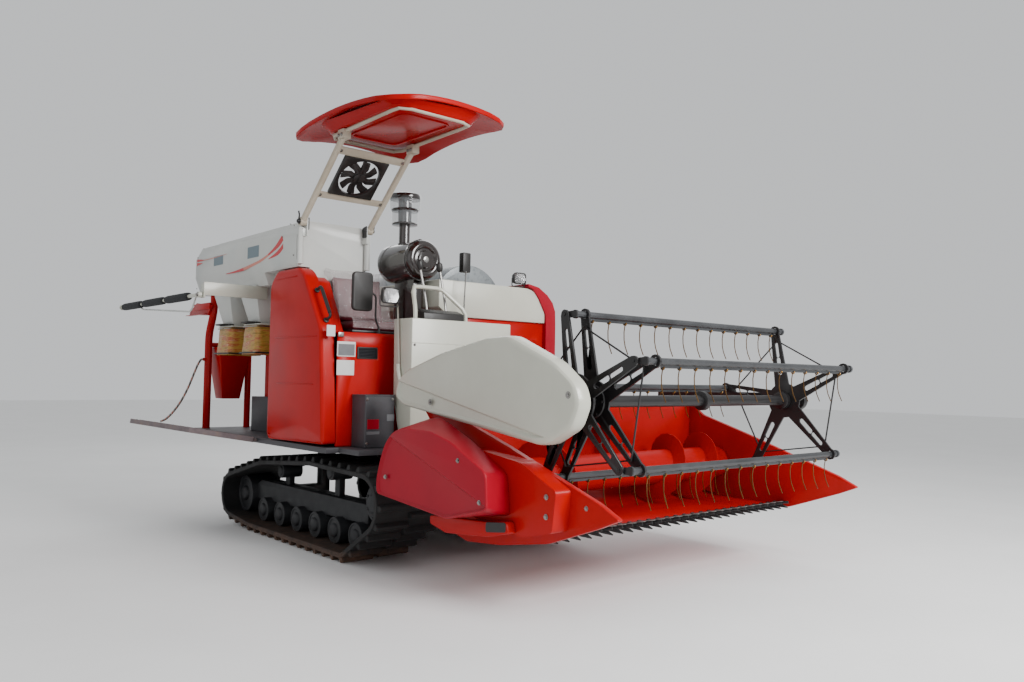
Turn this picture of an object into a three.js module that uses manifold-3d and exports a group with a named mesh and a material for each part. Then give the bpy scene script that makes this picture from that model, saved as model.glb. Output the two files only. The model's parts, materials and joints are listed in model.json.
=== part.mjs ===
// A small tracked full-feed combine harvester with a bagging platform.
// Millimetres. +Z is up, the header is at -Y and the operator's station is on the -X side.
// Every piece is drawn in the machine's own frame: the ground is z = 0 and x = 0 lies midway between the tracks.
// A joint's group sits at its pivot, and the meshes in it are set back by the same amount.

import * as THREE from "three";
import { mergeVertices } from "three/addons/utils/BufferGeometryUtils.js";
import Module from "manifold-3d";

const wasm = await Module();
wasm.setup();

// ---------------------------------------------------------------- driving dimensions

const SEAT_GAP = 0.3; // between faces that rest on each other
const SLIVER = 0.06; // faces thinner than this are merged away
const PIN_GAP = 0.5; // round a pin in its eye
const RUN_GAP = 8; // between pieces that move past each other

const TRACK_GAUGE = 1150; // middle of one belt to middle of the other
const BELT_WIDTH = 450;
const BELT_DEPTH = 60; // belt and lugs
const ROLLER_RADIUS = 82;
const ROLLER_COUNT = 6;
const ROLLER_FRONT_Y = -640;
const ROLLER_PITCH = 254;
const SPROCKET = { y: -870, z: 365, radius: 150 };
const IDLER = { y: 955, z: 222, radius: 130 };
const CARRIERS = [
  { y: -250, z: 482, radius: 50 },
  { y: 450, z: 428, radius: 50 },
];
const TRACK_BEAM = { width: 120, bottom: 215, top: 330 };

const RAIL = { x: 290, width: 60, bottom: 570, top: 640, front: -830, rear: 1560 };
const DECK = { top: 672, right: -885, left: 860, front: -620, rear: 1560 };
const FLOOR_FRONT = -850; // front edge of the operator's floor

const ENGINE = { x0: -740, x1: -160, y0: -500, y1: 60, height: 560 };
const HOUSING = { x0: -805, x1: -100, front: -590, rear: 160, top: 1362, wall: 20 };
const DOOR = { x: -900, depth: 88, wall: 14 };
const DOOR_HINGE = { x: DOOR.x + DOOR.depth + 8, y: HOUSING.rear + 14 };
const SCREEN = { right: -480, left: 290, front: -890, depth: 60, top: 1450 };

const THRESHER = { x0: 60, x1: 860, front: -580, rear: 1650, top: 1500 };
const TOP_BOX = { x0: -80, x1: 860, front: -600, height: 240 };
const DRUM = { x: 290, z: 1580, radius: 300, wall: 12, front: -440, rear: 1480, flange: 32 };

const TANK = { right: -900, left: -385, front: -200, rear: 1500, bottom: 1700, top: 2070, chamfer: 48 };
const CHUTE = { x: -720, top: 300, mouth: 165, bottom: 1440, ys: [600, 1060] };
const SLEEVE = { width: 290, wall: 12, length: 205 };

const PLATFORM = { width: 400, front: 300, kink: 470, rear: 1700, depth: 34, knuckle: 11, slope: 10 };
const HAND_RAIL = { x: -1250, y: 470, z: 1615, rear: 2140, radius: 24, eye: 20 };
const POST = { x: -800, y: 1450, radius: 30 };

const CANOPY_PIVOT = { y: -236, z: 2058, pin: 10 };
const POST_RISE = { y: -477, z: 428 }; // from the pivot to the head of a post
const CANOPY_POST_X = [-880, -400];
const ROOF = { x: -560, y: -840, width: 930, length: 1150, top: 2675, crown: 560, thickness: 30 };
const FAN = { size: 300, hole: 132, blades: 8, depth: 24 };

const HEADER_PIVOT = { y: -660, z: 1190 };
const HEADER = { right: -550, left: 1550, sheet: 30 };
const AUGER = { y: -1620, z: 560, tube: 105, flight: 205, pitch: 330, clearance: 20 };
const BACK_WALL = { thickness: 15, top: 930 };
const KNIFE = { y: -2100, z: 345, pitch: 76.2, finger: 70, width: 60, tilt: 10 };
const FEEDER = { x0: 210, x1: 740, rear: -630, inlet: { z0: 420, z1: 800, depth: 120 } };
FEEDER.front = AUGER.y + AUGER.flight + AUGER.clearance + BACK_WALL.thickness + SEAT_GAP;

const REEL = { y: -2250, z: 994, radius: 428, shaft: 30, bats: 5, left: HEADER.left - 140 };
const BAT = { radius: 18, tines: 14, tine: 188, thickness: 7 };
const FIRST_BAT_ANGLE = 98.8; // degrees above the rearward level
const CRANK = 50; // the second star turns this far behind the first
const ARM = {
  pivotY: -1200, pivotZ: 1000, thickness: 40, depth: 70, right: HEADER.right + 45, left: HEADER.left - 85,
};

const LIFT = { x: 222, baseY: -640, baseZ: 510, eyeY: -1240, eyeZ: 445, barrel: 28, rod: 17,
  pin: 12, eyeGap: 0.6, length: 400, out: 150, in: 125 };
const REEL_LIFT = { x: -460, y: -1330, baseZ: 640, eyeZ: 940, barrel: 20, rod: 10,
  pin: 8, eyeGap: 2.5, length: 200, out: 40, in: 0 };

// ---------------------------------------------------------------- solids

const X = new THREE.Vector3(1, 0, 0);
const Y = new THREE.Vector3(0, 1, 0);
const Z = new THREE.Vector3(0, 0, 1);

function solid(geometry) {
  const bare = geometry.clone();
  bare.deleteAttribute("normal");
  bare.deleteAttribute("uv");
  const merged = mergeVertices(bare, 1e-3);
  const mesh = new wasm.Mesh({
    numProp: 3,
    vertProperties: new Float32Array(merged.attributes.position.array),
    triVerts: new Uint32Array(merged.index.array),
  });
  return new wasm.Manifold(mesh);
}

function geometryOf(body) {
  const mesh = body.simplify(SLIVER).getMesh();
  const geometry = new THREE.BufferGeometry();
  geometry.setAttribute("position", new THREE.BufferAttribute(mesh.vertProperties, 3));
  geometry.setIndex(new THREE.BufferAttribute(mesh.triVerts, 1));
  geometry.computeVertexNormals();
  return geometry;
}

const join = (...geometries) => geometryOf(geometries.map(solid).reduce((a, b) => a.add(b)));
const cut = (whole, ...tools) => geometryOf(tools.map(solid).reduce((a, b) => a.subtract(b), solid(whole)));
const common = (a, b) => geometryOf(solid(a).intersect(solid(b)));

function block(x0, x1, y0, y1, z0, z1) {
  const box = new THREE.BoxGeometry(x1 - x0, y1 - y0, z1 - z0);
  return box.translate((x0 + x1) / 2, (y0 + y1) / 2, (z0 + z1) / 2);
}

// A cylinder whose axis runs from one point to another; each point is [x, y, z].
function rod(from, to, radius, sides = 12, endRadius = radius) {
  const a = new THREE.Vector3(...from);
  const b = new THREE.Vector3(...to);
  const length = a.distanceTo(b);
  const turn = new THREE.Quaternion().setFromUnitVectors(Y, b.clone().sub(a).normalize());
  const cylinder = new THREE.CylinderGeometry(endRadius, radius, length, sides);
  return cylinder.applyQuaternion(turn).translate(...a.add(b).multiplyScalar(0.5).toArray());
}

const axle = (x0, x1, y, z, radius, sides) => rod([x0, y, z], [x1, y, z], radius, sides);

// A closed outline through the points, each corner rounded by the radius.
function outline(points, radius = 0) {
  const shape = new THREE.Shape();
  points.forEach(([u, v], i) => {
    const corner = new THREE.Vector2(u, v);
    const before = new THREE.Vector2(...points.at(i - 1));
    const after = new THREE.Vector2(...points[(i + 1) % points.length]);
    const reach = Math.min(radius, corner.distanceTo(before) * 0.45, corner.distanceTo(after) * 0.45);
    const start = corner.clone().add(before.sub(corner).setLength(reach || 1e-9));
    const end = corner.clone().add(after.sub(corner).setLength(reach || 1e-9));
    if (i === 0) shape.moveTo(start.x, start.y);
    else shape.lineTo(start.x, start.y);
    if (reach) shape.quadraticCurveTo(corner.x, corner.y, end.x, end.y);
  });
  shape.closePath();
  return shape;
}

function slab(shape, depth) {
  return new THREE.ExtrudeGeometry(shape, { depth, bevelEnabled: false, curveSegments: 4 });
}

// An outline of (y, z) points swept along X.
function plateX(points, x0, x1, radius) {
  const frame = new THREE.Matrix4().makeBasis(Y, Z, X);
  return slab(outline(points, radius), x1 - x0).applyMatrix4(frame).translate(x0, 0, 0);
}

// An outline of (x, z) points swept along Y.
function plateY(points, y0, y1, radius) {
  const frame = new THREE.Matrix4().makeBasis(X, Z, Y.clone().negate());
  return slab(outline(points, radius), y1 - y0).applyMatrix4(frame).translate(0, y1, 0);
}

// An outline of (x, y) points swept along Z.
function plateZ(points, z0, z1, radius) {
  return slab(outline(points, radius), z1 - z0).translate(0, 0, z0);
}

// A round tube through the points, with bends of the given radius.
function bentTube(points, radius, bend, step = 45) {
  const path = new THREE.CurvePath();
  const corners = points.map((p) => new THREE.Vector3(...p));
  let from = corners[0];
  for (let i = 1; i < corners.length - 1; i++) {
    const corner = corners[i];
    const into = corner.clone().add(corners[i - 1].clone().sub(corner).setLength(bend));
    const out = corner.clone().add(corners[i + 1].clone().sub(corner).setLength(bend));
    path.add(new THREE.LineCurve3(from, into));
    path.add(new THREE.QuadraticBezierCurve3(into, corner, out));
    from = out;
  }
  path.add(new THREE.LineCurve3(from, corners.at(-1)));
  const ring = new THREE.Shape().absarc(0, 0, radius, 0, 2 * Math.PI);
  const steps = Math.ceil(path.getLength() / step);
  return new THREE.ExtrudeGeometry(ring, { extrudePath: path, steps, curveSegments: 4 });
}

// Points on a circle of (y, z), from one angle to another in degrees.
function arc(y, z, radius, from, to, count) {
  return Array.from({ length: count }, (_, i) => {
    const a = THREE.MathUtils.degToRad(from + ((to - from) * i) / (count - 1));
    return [y + radius * Math.cos(a), z + radius * Math.sin(a)];
  });
}

// The convex loop round a set of circles, each { y, z, radius }, grown by an offset.
function loopRound(circles, offset) {
  const sides = 36;
  const stretch = 1 / Math.cos(Math.PI / sides);
  const points = circles.flatMap((c) => arc(c.y, c.z, (c.radius + offset) * stretch, 0, 350, sides));
  points.sort((a, b) => a[0] - b[0] || a[1] - b[1]);
  const turn = (o, a, b) => (a[0] - o[0]) * (b[1] - o[1]) - (a[1] - o[1]) * (b[0] - o[0]);
  const half = (list) => {
    const chain = [];
    for (const p of list) {
      while (chain.length > 1 && turn(chain.at(-2), chain.at(-1), p) <= 1) chain.pop();
      chain.push(p);
    }
    return chain.slice(0, -1);
  };
  return [...half(points), ...half(points.slice().reverse())];
}

// The outline moved inwards by a wall, corner by corner; its points run anticlockwise.
function inset(points, wall) {
  return points.map((point, i) => {
    const p = new THREE.Vector2(...point);
    const into = p.clone().sub(new THREE.Vector2(...points.at(i - 1))).normalize();
    const out = new THREE.Vector2(...points[(i + 1) % points.length]).sub(p).normalize();
    const side = new THREE.Vector2(-into.y, into.x).add(new THREE.Vector2(-out.y, out.x)).normalize();
    const lean = side.dot(new THREE.Vector2(-into.y, into.x));
    return p.addScaledVector(side, wall / lean).toArray();
  });
}

// ---------------------------------------------------------------- the scene graph

const machine = new THREE.Group();

function jointGroup(name, parent, x, y, z) {
  const group = new THREE.Group();
  group.name = name;
  group.userData.pivot = new THREE.Vector3(x, y, z);
  const from = parent.userData.pivot ?? new THREE.Vector3();
  group.position.copy(group.userData.pivot).sub(from);
  parent.add(group);
  return group;
}

function place(name, geometry, finish, group = machine) {
  const mesh = new THREE.Mesh(geometry, finish);
  mesh.name = name;
  if (group.userData.pivot) mesh.position.copy(group.userData.pivot).negate();
  group.add(mesh);
}

const finishOf = (color, roughness, metalness) => () =>
  new THREE.MeshStandardMaterial({ color, roughness, metalness });
const redPaint = finishOf(0xd01810, 0.3, 0.0);
const crimsonPlastic = finishOf(0xb01830, 0.35, 0.0);
const creamPaint = finishOf(0xd8d8cc, 0.35, 0.0);
const darkGrey = finishOf(0x4a4648, 0.5, 0.1);
const blackPaint = finishOf(0x181818, 0.35, 0.2);
const rubber = finishOf(0x1a1a1a, 0.85, 0.0);
const castIron = finishOf(0x303030, 0.6, 0.6);
const zincSheet = finishOf(0xb0b2b2, 0.4, 0.8);
const steelTube = finishOf(0x6a6866, 0.35, 0.8);
const sleevePlastic = finishOf(0xc8a030, 0.3, 0.0);
const seatVinyl = finishOf(0x5a1420, 0.6, 0.0);

// ---------------------------------------------------------------- undercarriage

const wheelsOf = () => {
  const low = BELT_DEPTH + ROLLER_RADIUS + SEAT_GAP;
  const first = { y: ROLLER_FRONT_Y, z: low, radius: ROLLER_RADIUS };
  const last = { ...first, y: ROLLER_FRONT_Y + ROLLER_PITCH * (ROLLER_COUNT - 1) };
  return [SPROCKET, IDLER, ...CARRIERS, first, last];
};

function trackBelt(side) {
  const x = (side * TRACK_GAUGE) / 2;
  const wheels = wheelsOf();
  const band = plateX(loopRound(wheels, BELT_DEPTH), x - BELT_WIDTH / 2, x + BELT_WIDTH / 2);
  return cut(band, plateX(loopRound(wheels, SEAT_GAP), x - BELT_WIDTH, x + BELT_WIDTH));
}

function trackFrame(side) {
  const x = (side * TRACK_GAUGE) / 2;
  const half = TRACK_BEAM.width / 2;
  const wheels = wheelsOf();
  const low = wheels.at(-1);
  const rollers = Array.from({ length: ROLLER_COUNT }, (_, i) =>
    axle(x - 110, x + 110, ROLLER_FRONT_Y + ROLLER_PITCH * i, low.z, ROLLER_RADIUS, 18),
  );
  const beam = plateX(
    [[SPROCKET.y + 170, TRACK_BEAM.bottom], [IDLER.y, IDLER.z - 30], [IDLER.y, IDLER.z + 30],
     [IDLER.y - 180, TRACK_BEAM.top], [SPROCKET.y + 170, TRACK_BEAM.top]],
    x - half, x + half,
  );
  const uprights = CARRIERS.map((c) => block(x - 20, x + 20, c.y - 30, c.y + 30, TRACK_BEAM.top - 10, c.z));
  const carriers = CARRIERS.map((c) => axle(x - 70, x + 70, c.y, c.z, c.radius, 18));
  const idler = axle(x - 100, x + 100, IDLER.y, IDLER.z, IDLER.radius, 36);
  return join(beam, ...rollers, ...uprights, ...carriers, idler);
}

const AXLE_YS = [-350, 500]; // where the chassis stands on the track frames

function chassisFrame() {
  const outer = RAIL.x + RAIL.width / 2;
  const inner = RAIL.x - RAIL.width / 2;
  const beam = TRACK_GAUGE / 2 - TRACK_BEAM.width / 2 - SEAT_GAP;
  const parts = [-1, 1].flatMap((side) => {
    const [a, b] = [side * inner, side * outer].sort((p, q) => p - q);
    const [c, d] = [side * inner, side * beam].sort((p, q) => p - q);
    const legs = AXLE_YS.map((y) => block(a, b, y - 40, y + 40, 235, RAIL.bottom + 10));
    const feet = AXLE_YS.map((y) => block(c, d, y - 40, y + 40, 235, 315));
    return [block(a, b, RAIL.front, RAIL.rear, RAIL.bottom, RAIL.top), ...legs, ...feet];
  });
  const crossings = [RAIL.front + 30, ...AXLE_YS, RAIL.rear - 30].map((y) =>
    block(-outer, outer, y - 30, y + 30, RAIL.bottom, RAIL.top),
  );
  const ears = [-1, 1].map((side) => {
    const x = LIFT.x + side * 42;
    return plateX([[LIFT.baseY - 30, LIFT.baseZ - 30], [LIFT.baseY + 60, LIFT.baseZ - 30],
      [LIFT.baseY + 60, RAIL.bottom + 20], [LIFT.baseY - 30, RAIL.bottom + 20]], x - 6, x + 6);
  });
  const carrier = block(LIFT.x - 60, inner + 10, LIFT.baseY - 30, LIFT.baseY + 60, RAIL.bottom, RAIL.top);
  const pin = axle(LIFT.x - 46, LIFT.x + 46, LIFT.baseY, LIFT.baseZ, LIFT.pin, 16);
  return join(...parts, ...crossings, ...ears, carrier, pin);
}

function transmission() {
  const hub = TRACK_GAUGE / 2;
  const casing = plateX(
    [[-990, 300], [-760, 250], [-700, 330], [-700, RAIL.bottom - SEAT_GAP], [-960, RAIL.bottom - SEAT_GAP],
     [-990, 500]], -170, 170, 25);
  const finals = [-1, 1].flatMap((side) => [
    axle(side * 160, side * (hub + 110), SPROCKET.y, SPROCKET.z, 38, 20),
    axle(side * (hub - 40), side * (hub + 40), SPROCKET.y, SPROCKET.z, SPROCKET.radius, 36),
  ]);
  return join(casing, ...finals);
}

function deckPlate() {
  const bottom = RAIL.top + SEAT_GAP;
  const main = block(DECK.right, DECK.left, DECK.front, DECK.rear, bottom, DECK.top);
  const floor = block(-800, 50, FLOOR_FRONT, DECK.front + 10, bottom, DECK.top);
  const hinge = rod([DOOR_HINGE.x, DOOR_HINGE.y, DECK.top - 10], [DOOR_HINGE.x, DOOR_HINGE.y, 1340], 7);
  return join(main, floor, hinge);
}

place("track_right", trackBelt(-1), rubber());
place("track_left", trackBelt(1), rubber());
place("track_frame_right", trackFrame(-1), castIron());
place("track_frame_left", trackFrame(1), castIron());
place("drive_axle", transmission(), castIron());
place("chassis_frame", chassisFrame(), blackPaint());
place("deck", deckPlate(), darkGrey());

// ---------------------------------------------------------------- engine and operator's station

const DECK_FACE = DECK.top + SEAT_GAP;

function engineBlock() {
  return block(ENGINE.x0, ENGINE.x1, ENGINE.y0, ENGINE.y1, DECK_FACE, DECK_FACE + ENGINE.height);
}

function engineHousing() {
  const h = HOUSING;
  const outer = block(h.x0, h.x1, h.front, h.rear, DECK_FACE, h.top);
  const inner = block(h.x0 - 10, h.x1 - h.wall, h.front + h.wall, h.rear - h.wall, DECK_FACE - 10, h.top - h.wall);
  const vent = block(-671, -532, h.front - 10, h.front + h.wall + 10, 1203, 1274);
  return cut(outer, inner, vent);
}

const DOOR_OUTLINE = [
  [160, 680], [160, 1690], [70, 1770], [-235, 1770], [-310, 1725], [-545, 1378], [-600, 690],
];

function sideDoor() {
  const pan = plateX(DOOR_OUTLINE, DOOR.x, DOOR.x + DOOR.depth, 25);
  const hollow = plateX(inset(DOOR_OUTLINE, DOOR.wall), DOOR.x + DOOR.wall, DOOR.x + DOOR.depth + 10, 15);
  const grab = bentTube(
    [[DOOR.x + 50, -380, 1612], [DOOR.x + 50, -442, 1643], [DOOR.x + 50, -575, 1452], [DOOR.x + 50, -508, 1425]],
    9, 25);
  const { x, y } = DOOR_HINGE;
  const knuckle = (z) => cut(
    join(rod([x, y, z], [x, y, z + 60], 13), block(x - 26, x - 4, y - 24, y + 2, z, z + 60)),
    rod([x, y, z - 10], [x, y, z + 70], 7 + PIN_GAP + 0.1));
  return join(cut(pan, hollow), grab, knuckle(760), knuckle(1240));
}

// The radiator stands behind the door and reaches above the engine housing.
function radiatorBox() {
  return plateX(
    [[-490, HOUSING.top + SEAT_GAP], [TANK.front - 2, HOUSING.top + SEAT_GAP], [TANK.front - 2, 1720], [-230, 1720],
     [-300, 1685]], -800, -712, 12);
}

function consoleScreen() {
  const s = SCREEN;
  const front = plateY(
    [[s.right, DECK_FACE], [180, DECK_FACE], [180, 1310], [s.left, 1330], [s.left, s.top], [s.right, s.top]],
    s.front, s.front + s.depth);
  const wing = plateX(
    [[s.front + 10, DECK_FACE], [-790, DECK_FACE], [-700, 960], [-690, s.top], [s.front + 10, s.top]],
    s.right, s.right + 40);
  const corner = block(s.right + 10, -300, s.front, -700, s.top - 60, s.top);
  return join(front, wing, corner);
}

function operatorRails() {
  const y = SCREEN.front + 30;
  const top = SCREEN.top + SEAT_GAP;
  const lean = 60;
  return bentTube(
    [[-440, y, top], [-440, y, top + 60], [-425, y + lean, 1650], [-210, y + lean, 1650], [-60, y, top + 60],
     [-60, y, top]], 13, 28);
}

function lampStand() {
  const x = SCREEN.right - 14;
  const stand = bentTube([[x, -800, 1050], [x, -770, 1130], [x - 10, -748, 1560]], 13, 50);
  const foot = block(x - 10, SCREEN.right - SEAT_GAP, -812, -788, 1035, 1075);
  const lamp = block(x - 132, x - 4, -790, -725, 1535, 1630);
  return join(stand, foot, lamp);
}

function mirror() {
  const stalkPath = [
    [-515, -575, HOUSING.top + SEAT_GAP], [-515, -575, 1395], [-545, -580, 1450], [-562, -608, 1596], [-615, -608, 1612],
  ];
  const stalk = bentTube(stalkPath, 6, 25);
  const glass = plateY([[-732, 1492], [-592, 1492], [-592, 1730], [-732, 1730]], -625, -595, 30);
  return join(stalk, glass);
}

function seat() {
  const base = block(-690, -290, -550, -225, HOUSING.top + SEAT_GAP, 1440);
  const back = plateX([[-320, 1430], [-235, 1430], [-208, 1740], [-262, 1752]], -680, -300, 20);
  return join(base, back);
}

function stepBox() {
  return block(-780, -500, -750, HOUSING.front - SEAT_GAP, DECK_FACE, 985);
}

function airCleaner() {
  const x = -194;
  const z = 1855;
  const y = -348; // the stack
  const body = rod([x, -593, z], [x, -200, z], 127, 28);
  const cap = rod([x, -612, z], [x, -534, z], 135, 28);
  const stack = rod([x, y, z + 100], [x, y, 2178], 37, 16);
  const bowl = rod([x, y, 2109], [x, y, 2276], 83, 20);
  const hat = rod([x, y, 2266], [x, y, 2320], 103, 20);
  const bracket = block(x - 30, x + 50, -515, -280, HOUSING.top + SEAT_GAP, z - 100);
  return join(body, cap, stack, bowl, hat, bracket);
}

place("engine", engineBlock(), castIron());
place("engine_housing", engineHousing(), redPaint());
place("radiator_box", radiatorBox(), redPaint());
place("console", consoleScreen(), creamPaint());
place("grab_rail", operatorRails(), creamPaint());
place("lamp_stand", lampStand(), creamPaint());
place("mirror", mirror(), blackPaint());
place("seat", seat(), seatVinyl());
place("step_box", stepBox(), darkGrey());
place("air_cleaner", airCleaner(), blackPaint());

const door = jointGroup("side_door_swing", machine, DOOR_HINGE.x, DOOR_HINGE.y, 1000);
place("side_door", sideDoor(), redPaint(), door);

// ---------------------------------------------------------------- thresher

function thresherBody() {
  const t = THRESHER;
  const body = plateX(
    [[t.front, DECK_FACE], [t.rear - 250, DECK_FACE], [t.rear, 900], [t.rear, 1330], [t.rear - 120, t.top],
     [t.front, t.top]], t.x0, t.x1);
  const outlet = block(t.x0 + 60, t.x1 - 60, t.rear - 320, t.rear + 20, DECK_FACE + 60, 1150);
  const plates = [FEEDER.x0 - 44, FEEDER.x1 + 24].map((x) =>
    plateX([[t.front + 10, HEADER_PIVOT.z - 110], [t.front + 10, HEADER_PIVOT.z + 110],
      [HEADER_PIVOT.y - 30, HEADER_PIVOT.z + 40], [HEADER_PIVOT.y - 50, HEADER_PIVOT.z],
      [HEADER_PIVOT.y - 30, HEADER_PIVOT.z - 40]], x, x + 20));
  const bore = axle(FEEDER.x0 - 80, FEEDER.x1 + 80, HEADER_PIVOT.y, HEADER_PIVOT.z, 30 + PIN_GAP, 32);
  return cut(join(body, ...plates), outlet, bore);
}

const topLid = THRESHER.top + SEAT_GAP + TOP_BOX.height;

// The upper box is open under the drum's cover.
function thresherTop() {
  const t = TOP_BOX;
  const bottom = THRESHER.top + SEAT_GAP;
  const section = [[t.x0, bottom + 60], [0, bottom], [t.x1, bottom], [t.x1, topLid], [t.x0, topLid]];
  const outer = plateY(section, t.front, 1600);
  const reach = Math.sqrt(DRUM.radius ** 2 - (topLid - DRUM.z) ** 2) - 20;
  const chamber = block(DRUM.x - reach, DRUM.x + reach, DRUM.front + 30, DRUM.rear - 30, bottom + 20, topLid + 10);
  return cut(outer, chamber);
}

// A quarter-round cover over the front left corner and the belts on that side.
function cornerCover() {
  const x = THRESHER.x1 + SEAT_GAP;
  const shoulder = arc(x, topLid - 180, 100, 0, 60, 4).slice(1);
  const shell = [[x, 1200], [x + 100, 1200], ...shoulder, [x + 20, topLid], [x, topLid]];
  return plateY(shell, TOP_BOX.front, 1200);
}

// An arched sheet with closed ends and a flange along each side, hinged at its left flange.
function drumCover() {
  const rim = topLid + SEAT_GAP;
  const profile = (radius) => {
    const from = THREE.MathUtils.radToDeg(Math.asin((rim - DRUM.z) / radius));
    return arc(DRUM.x, DRUM.z, radius, from, 180 - from, 15);
  };
  const dome = plateY(profile(DRUM.radius), DRUM.front, DRUM.rear);
  const inside = plateY(
    profile(DRUM.radius - DRUM.wall).map(([x, z], i, all) => (i % (all.length - 1) ? [x, z] : [x, z - 5])),
    DRUM.front + DRUM.wall, DRUM.rear - DRUM.wall);
  const reach = Math.sqrt(DRUM.radius ** 2 - (rim - DRUM.z) ** 2);
  const flanges = [-1, 1].map((side) => {
    const edges = [side * (reach - 8), side * (reach + DRUM.flange)].sort((p, q) => p - q);
    return block(DRUM.x + edges[0], DRUM.x + edges[1], DRUM.front, DRUM.rear, rim, rim + 6);
  });
  return join(cut(dome, inside), ...flanges);
}

const DRUM_HINGE = { x: DRUM.x + 288, z: topLid + 3 };

// The clean grain comes across from the thresher and climbs to the tank in a red tube.
const ELEVATOR = { x: -470, y: 930, radius: 88 };

function elevatorBoot() {
  const e = ELEVATOR;
  const boot = block(e.x - 130, e.x + 130, e.y - 150, e.y + 150, DECK_FACE, 930);
  return join(boot, axle(e.x, THRESHER.x0 - SEAT_GAP, e.y, 800, 65, 16));
}

function grainElevator() {
  const e = ELEVATOR;
  return rod([e.x, e.y, 930 + SEAT_GAP], [e.x, e.y, TANK.bottom - SEAT_GAP], e.radius, 24);
}

place("thresher_body", thresherBody(), redPaint());
place("thresher_top", thresherTop(), creamPaint());
place("corner_cover", cornerCover(), redPaint());
place("elevator_boot", elevatorBoot(), darkGrey());
place("grain_elevator", grainElevator(), redPaint());
const drum = jointGroup("drum_cover_open", machine, DRUM_HINGE.x, 500, DRUM_HINGE.z);
place("drum_cover", drumCover(), zincSheet(), drum);

// ---------------------------------------------------------------- grain tank and bagging place

function grainTank() {
  const t = TANK;
  const c = t.chamfer;
  const body = plateY(
    [[t.right + c, t.bottom], [t.left - c, t.bottom], [t.left, t.bottom + 130], [t.left, t.top - 2 * c],
     [t.left - c, t.top], [t.right + c, t.top], [t.right, t.top - 2 * c], [t.right, t.bottom + 130]],
    t.front, t.rear);
  const depth = t.bottom - CHUTE.bottom;
  const funnels = CHUTE.ys.map((y) => {
    const funnel = new THREE.CylinderGeometry(CHUTE.top / Math.SQRT2, CHUTE.mouth / Math.SQRT2, depth + 10, 4);
    funnel.rotateY(Math.PI / 4).rotateX(Math.PI / 2);
    return funnel.translate(CHUTE.x, y, t.bottom + 5 - depth / 2);
  });
  const wall = block(-795, t.left, t.front, t.front + 25, HOUSING.top + SEAT_GAP, t.bottom + 10);
  const stands = CANOPY_POST_X.flatMap((x) => {
    const side = x < -600 ? 1 : -1; // the cheek is on the post's inner side
    const cheek = (near, far) => [x + side * near, x + side * far].sort((p, q) => p - q);
    const { y, z, pin } = CANOPY_PIVOT;
    return [
      rod([x, t.front - 16, t.bottom + 95], [x, t.front - 16, z - 34], 20, 12),
      block(...cheek(0, 30), t.front - 40, t.front + 5, z - 90, z - 40),
      block(...cheek(22, 30), y - 22, y + 22, z - 90, z + 24),
      axle(...cheek(-24, 30), y, z, pin, 16),
    ];
  });
  const doorBack = DOOR.x + DOOR.depth + RUN_GAP;
  const doorRoom = block(t.right - 50, doorBack, t.front - 50, DOOR_HINGE.y + 118, t.bottom - 10, 1780);
  return cut(join(body, ...funnels, wall, ...stands), doorRoom);
}

function bagSleeve(y) {
  const half = SLEEVE.width / 2;
  const top = CHUTE.bottom - SEAT_GAP;
  const bottom = top - SLEEVE.length;
  const bore = half - SLEEVE.wall;
  const outer = block(CHUTE.x - half, CHUTE.x + half, y - half, y + half, bottom, top);
  return cut(outer, block(CHUTE.x - bore, CHUTE.x + bore, y - bore, y + bore, bottom - 10, top - SLEEVE.wall));
}

const TIE = { z: 1320, radius: 18 };
const LEFT_POST_X = -475;

// Two posts carry the tank's rear; the right one stands at the edge of the platform.
function tankFrame() {
  const top = TANK.bottom - SEAT_GAP;
  const right = bentTube(
    [[POST.x, POST.y, DECK_FACE], [POST.x, POST.y, 1400], [POST.x, POST.y - 90, 1580], [POST.x, POST.y - 90, top]],
    POST.radius, 60);
  const left = rod([LEFT_POST_X, POST.y, DECK_FACE], [LEFT_POST_X, POST.y, top], 25);
  const tie = rod([POST.x, POST.y, TIE.z], [LEFT_POST_X, POST.y, TIE.z], TIE.radius);
  const bracket = block(POST.x - 50, POST.x - 40, POST.y - 120, POST.y + 200, 1590, 1640);
  const shank = block(POST.x - 50, POST.x, POST.y - 110, POST.y - 70, 1600, 1630);
  const hook = block(CHAIN_START[0] + 3.3, POST.x, CHAIN_START[1] - 5, CHAIN_START[1] + 5, CHAIN_START[2] - 12,
    CHAIN_START[2] + 12);
  return join(right, left, tie, bracket, shank, hook);
}

function rearHopper() {
  const top = TIE.z - TIE.radius - SEAT_GAP;
  const funnel = new THREE.CylinderGeometry(180, 100, 400, 4).rotateY(Math.PI / 4).rotateX(Math.PI / 2);
  return funnel.translate(-636, POST.y, top - 200);
}

const CHAIN_START = [-848, 1440, 1205];

function chainRoute() {
  return [CHAIN_START, [-862, 1438, 1200], [-890, 1425, 1160], [-930, 1395, 1085], [-985, 1350, 985],
    [-1050, 1300, 890], [-1120, 1250, 815], [-1185, 1205, 765], [-1235, 1170, 748]];
}

function holdChain() {
  const path = new THREE.CatmullRomCurve3(chainRoute().map((p) => new THREE.Vector3(...p)));
  const ring = new THREE.Shape().absarc(0, 0, 8, 0, 2 * Math.PI);
  return new THREE.ExtrudeGeometry(ring, { extrudePath: path, steps: 18, curveSegments: 4 });
}

const FOLD = { x: DECK.right - PLATFORM.knuckle - 2 * SEAT_GAP, z: DECK.top - 14 };

function baggingPlatform() {
  const p = PLATFORM;
  const inner = -20;
  const outer = -p.width;
  const plate = plateZ([[inner, p.front], [inner, p.rear], [outer, p.rear], [outer, p.kink]],
    -p.depth / 2, p.depth / 2, 12);
  const knuckles = [380, 940, 1500].flatMap((y) =>
    [rod([0, y - 60, 0], [0, y + 60, 0], p.knuckle), block(inner - 6, 0, y - 60, y + 60, -8, 8)]);
  return join(plate, ...knuckles).rotateY(THREE.MathUtils.degToRad(p.slope)).translate(FOLD.x, 0, FOLD.z);
}

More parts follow.
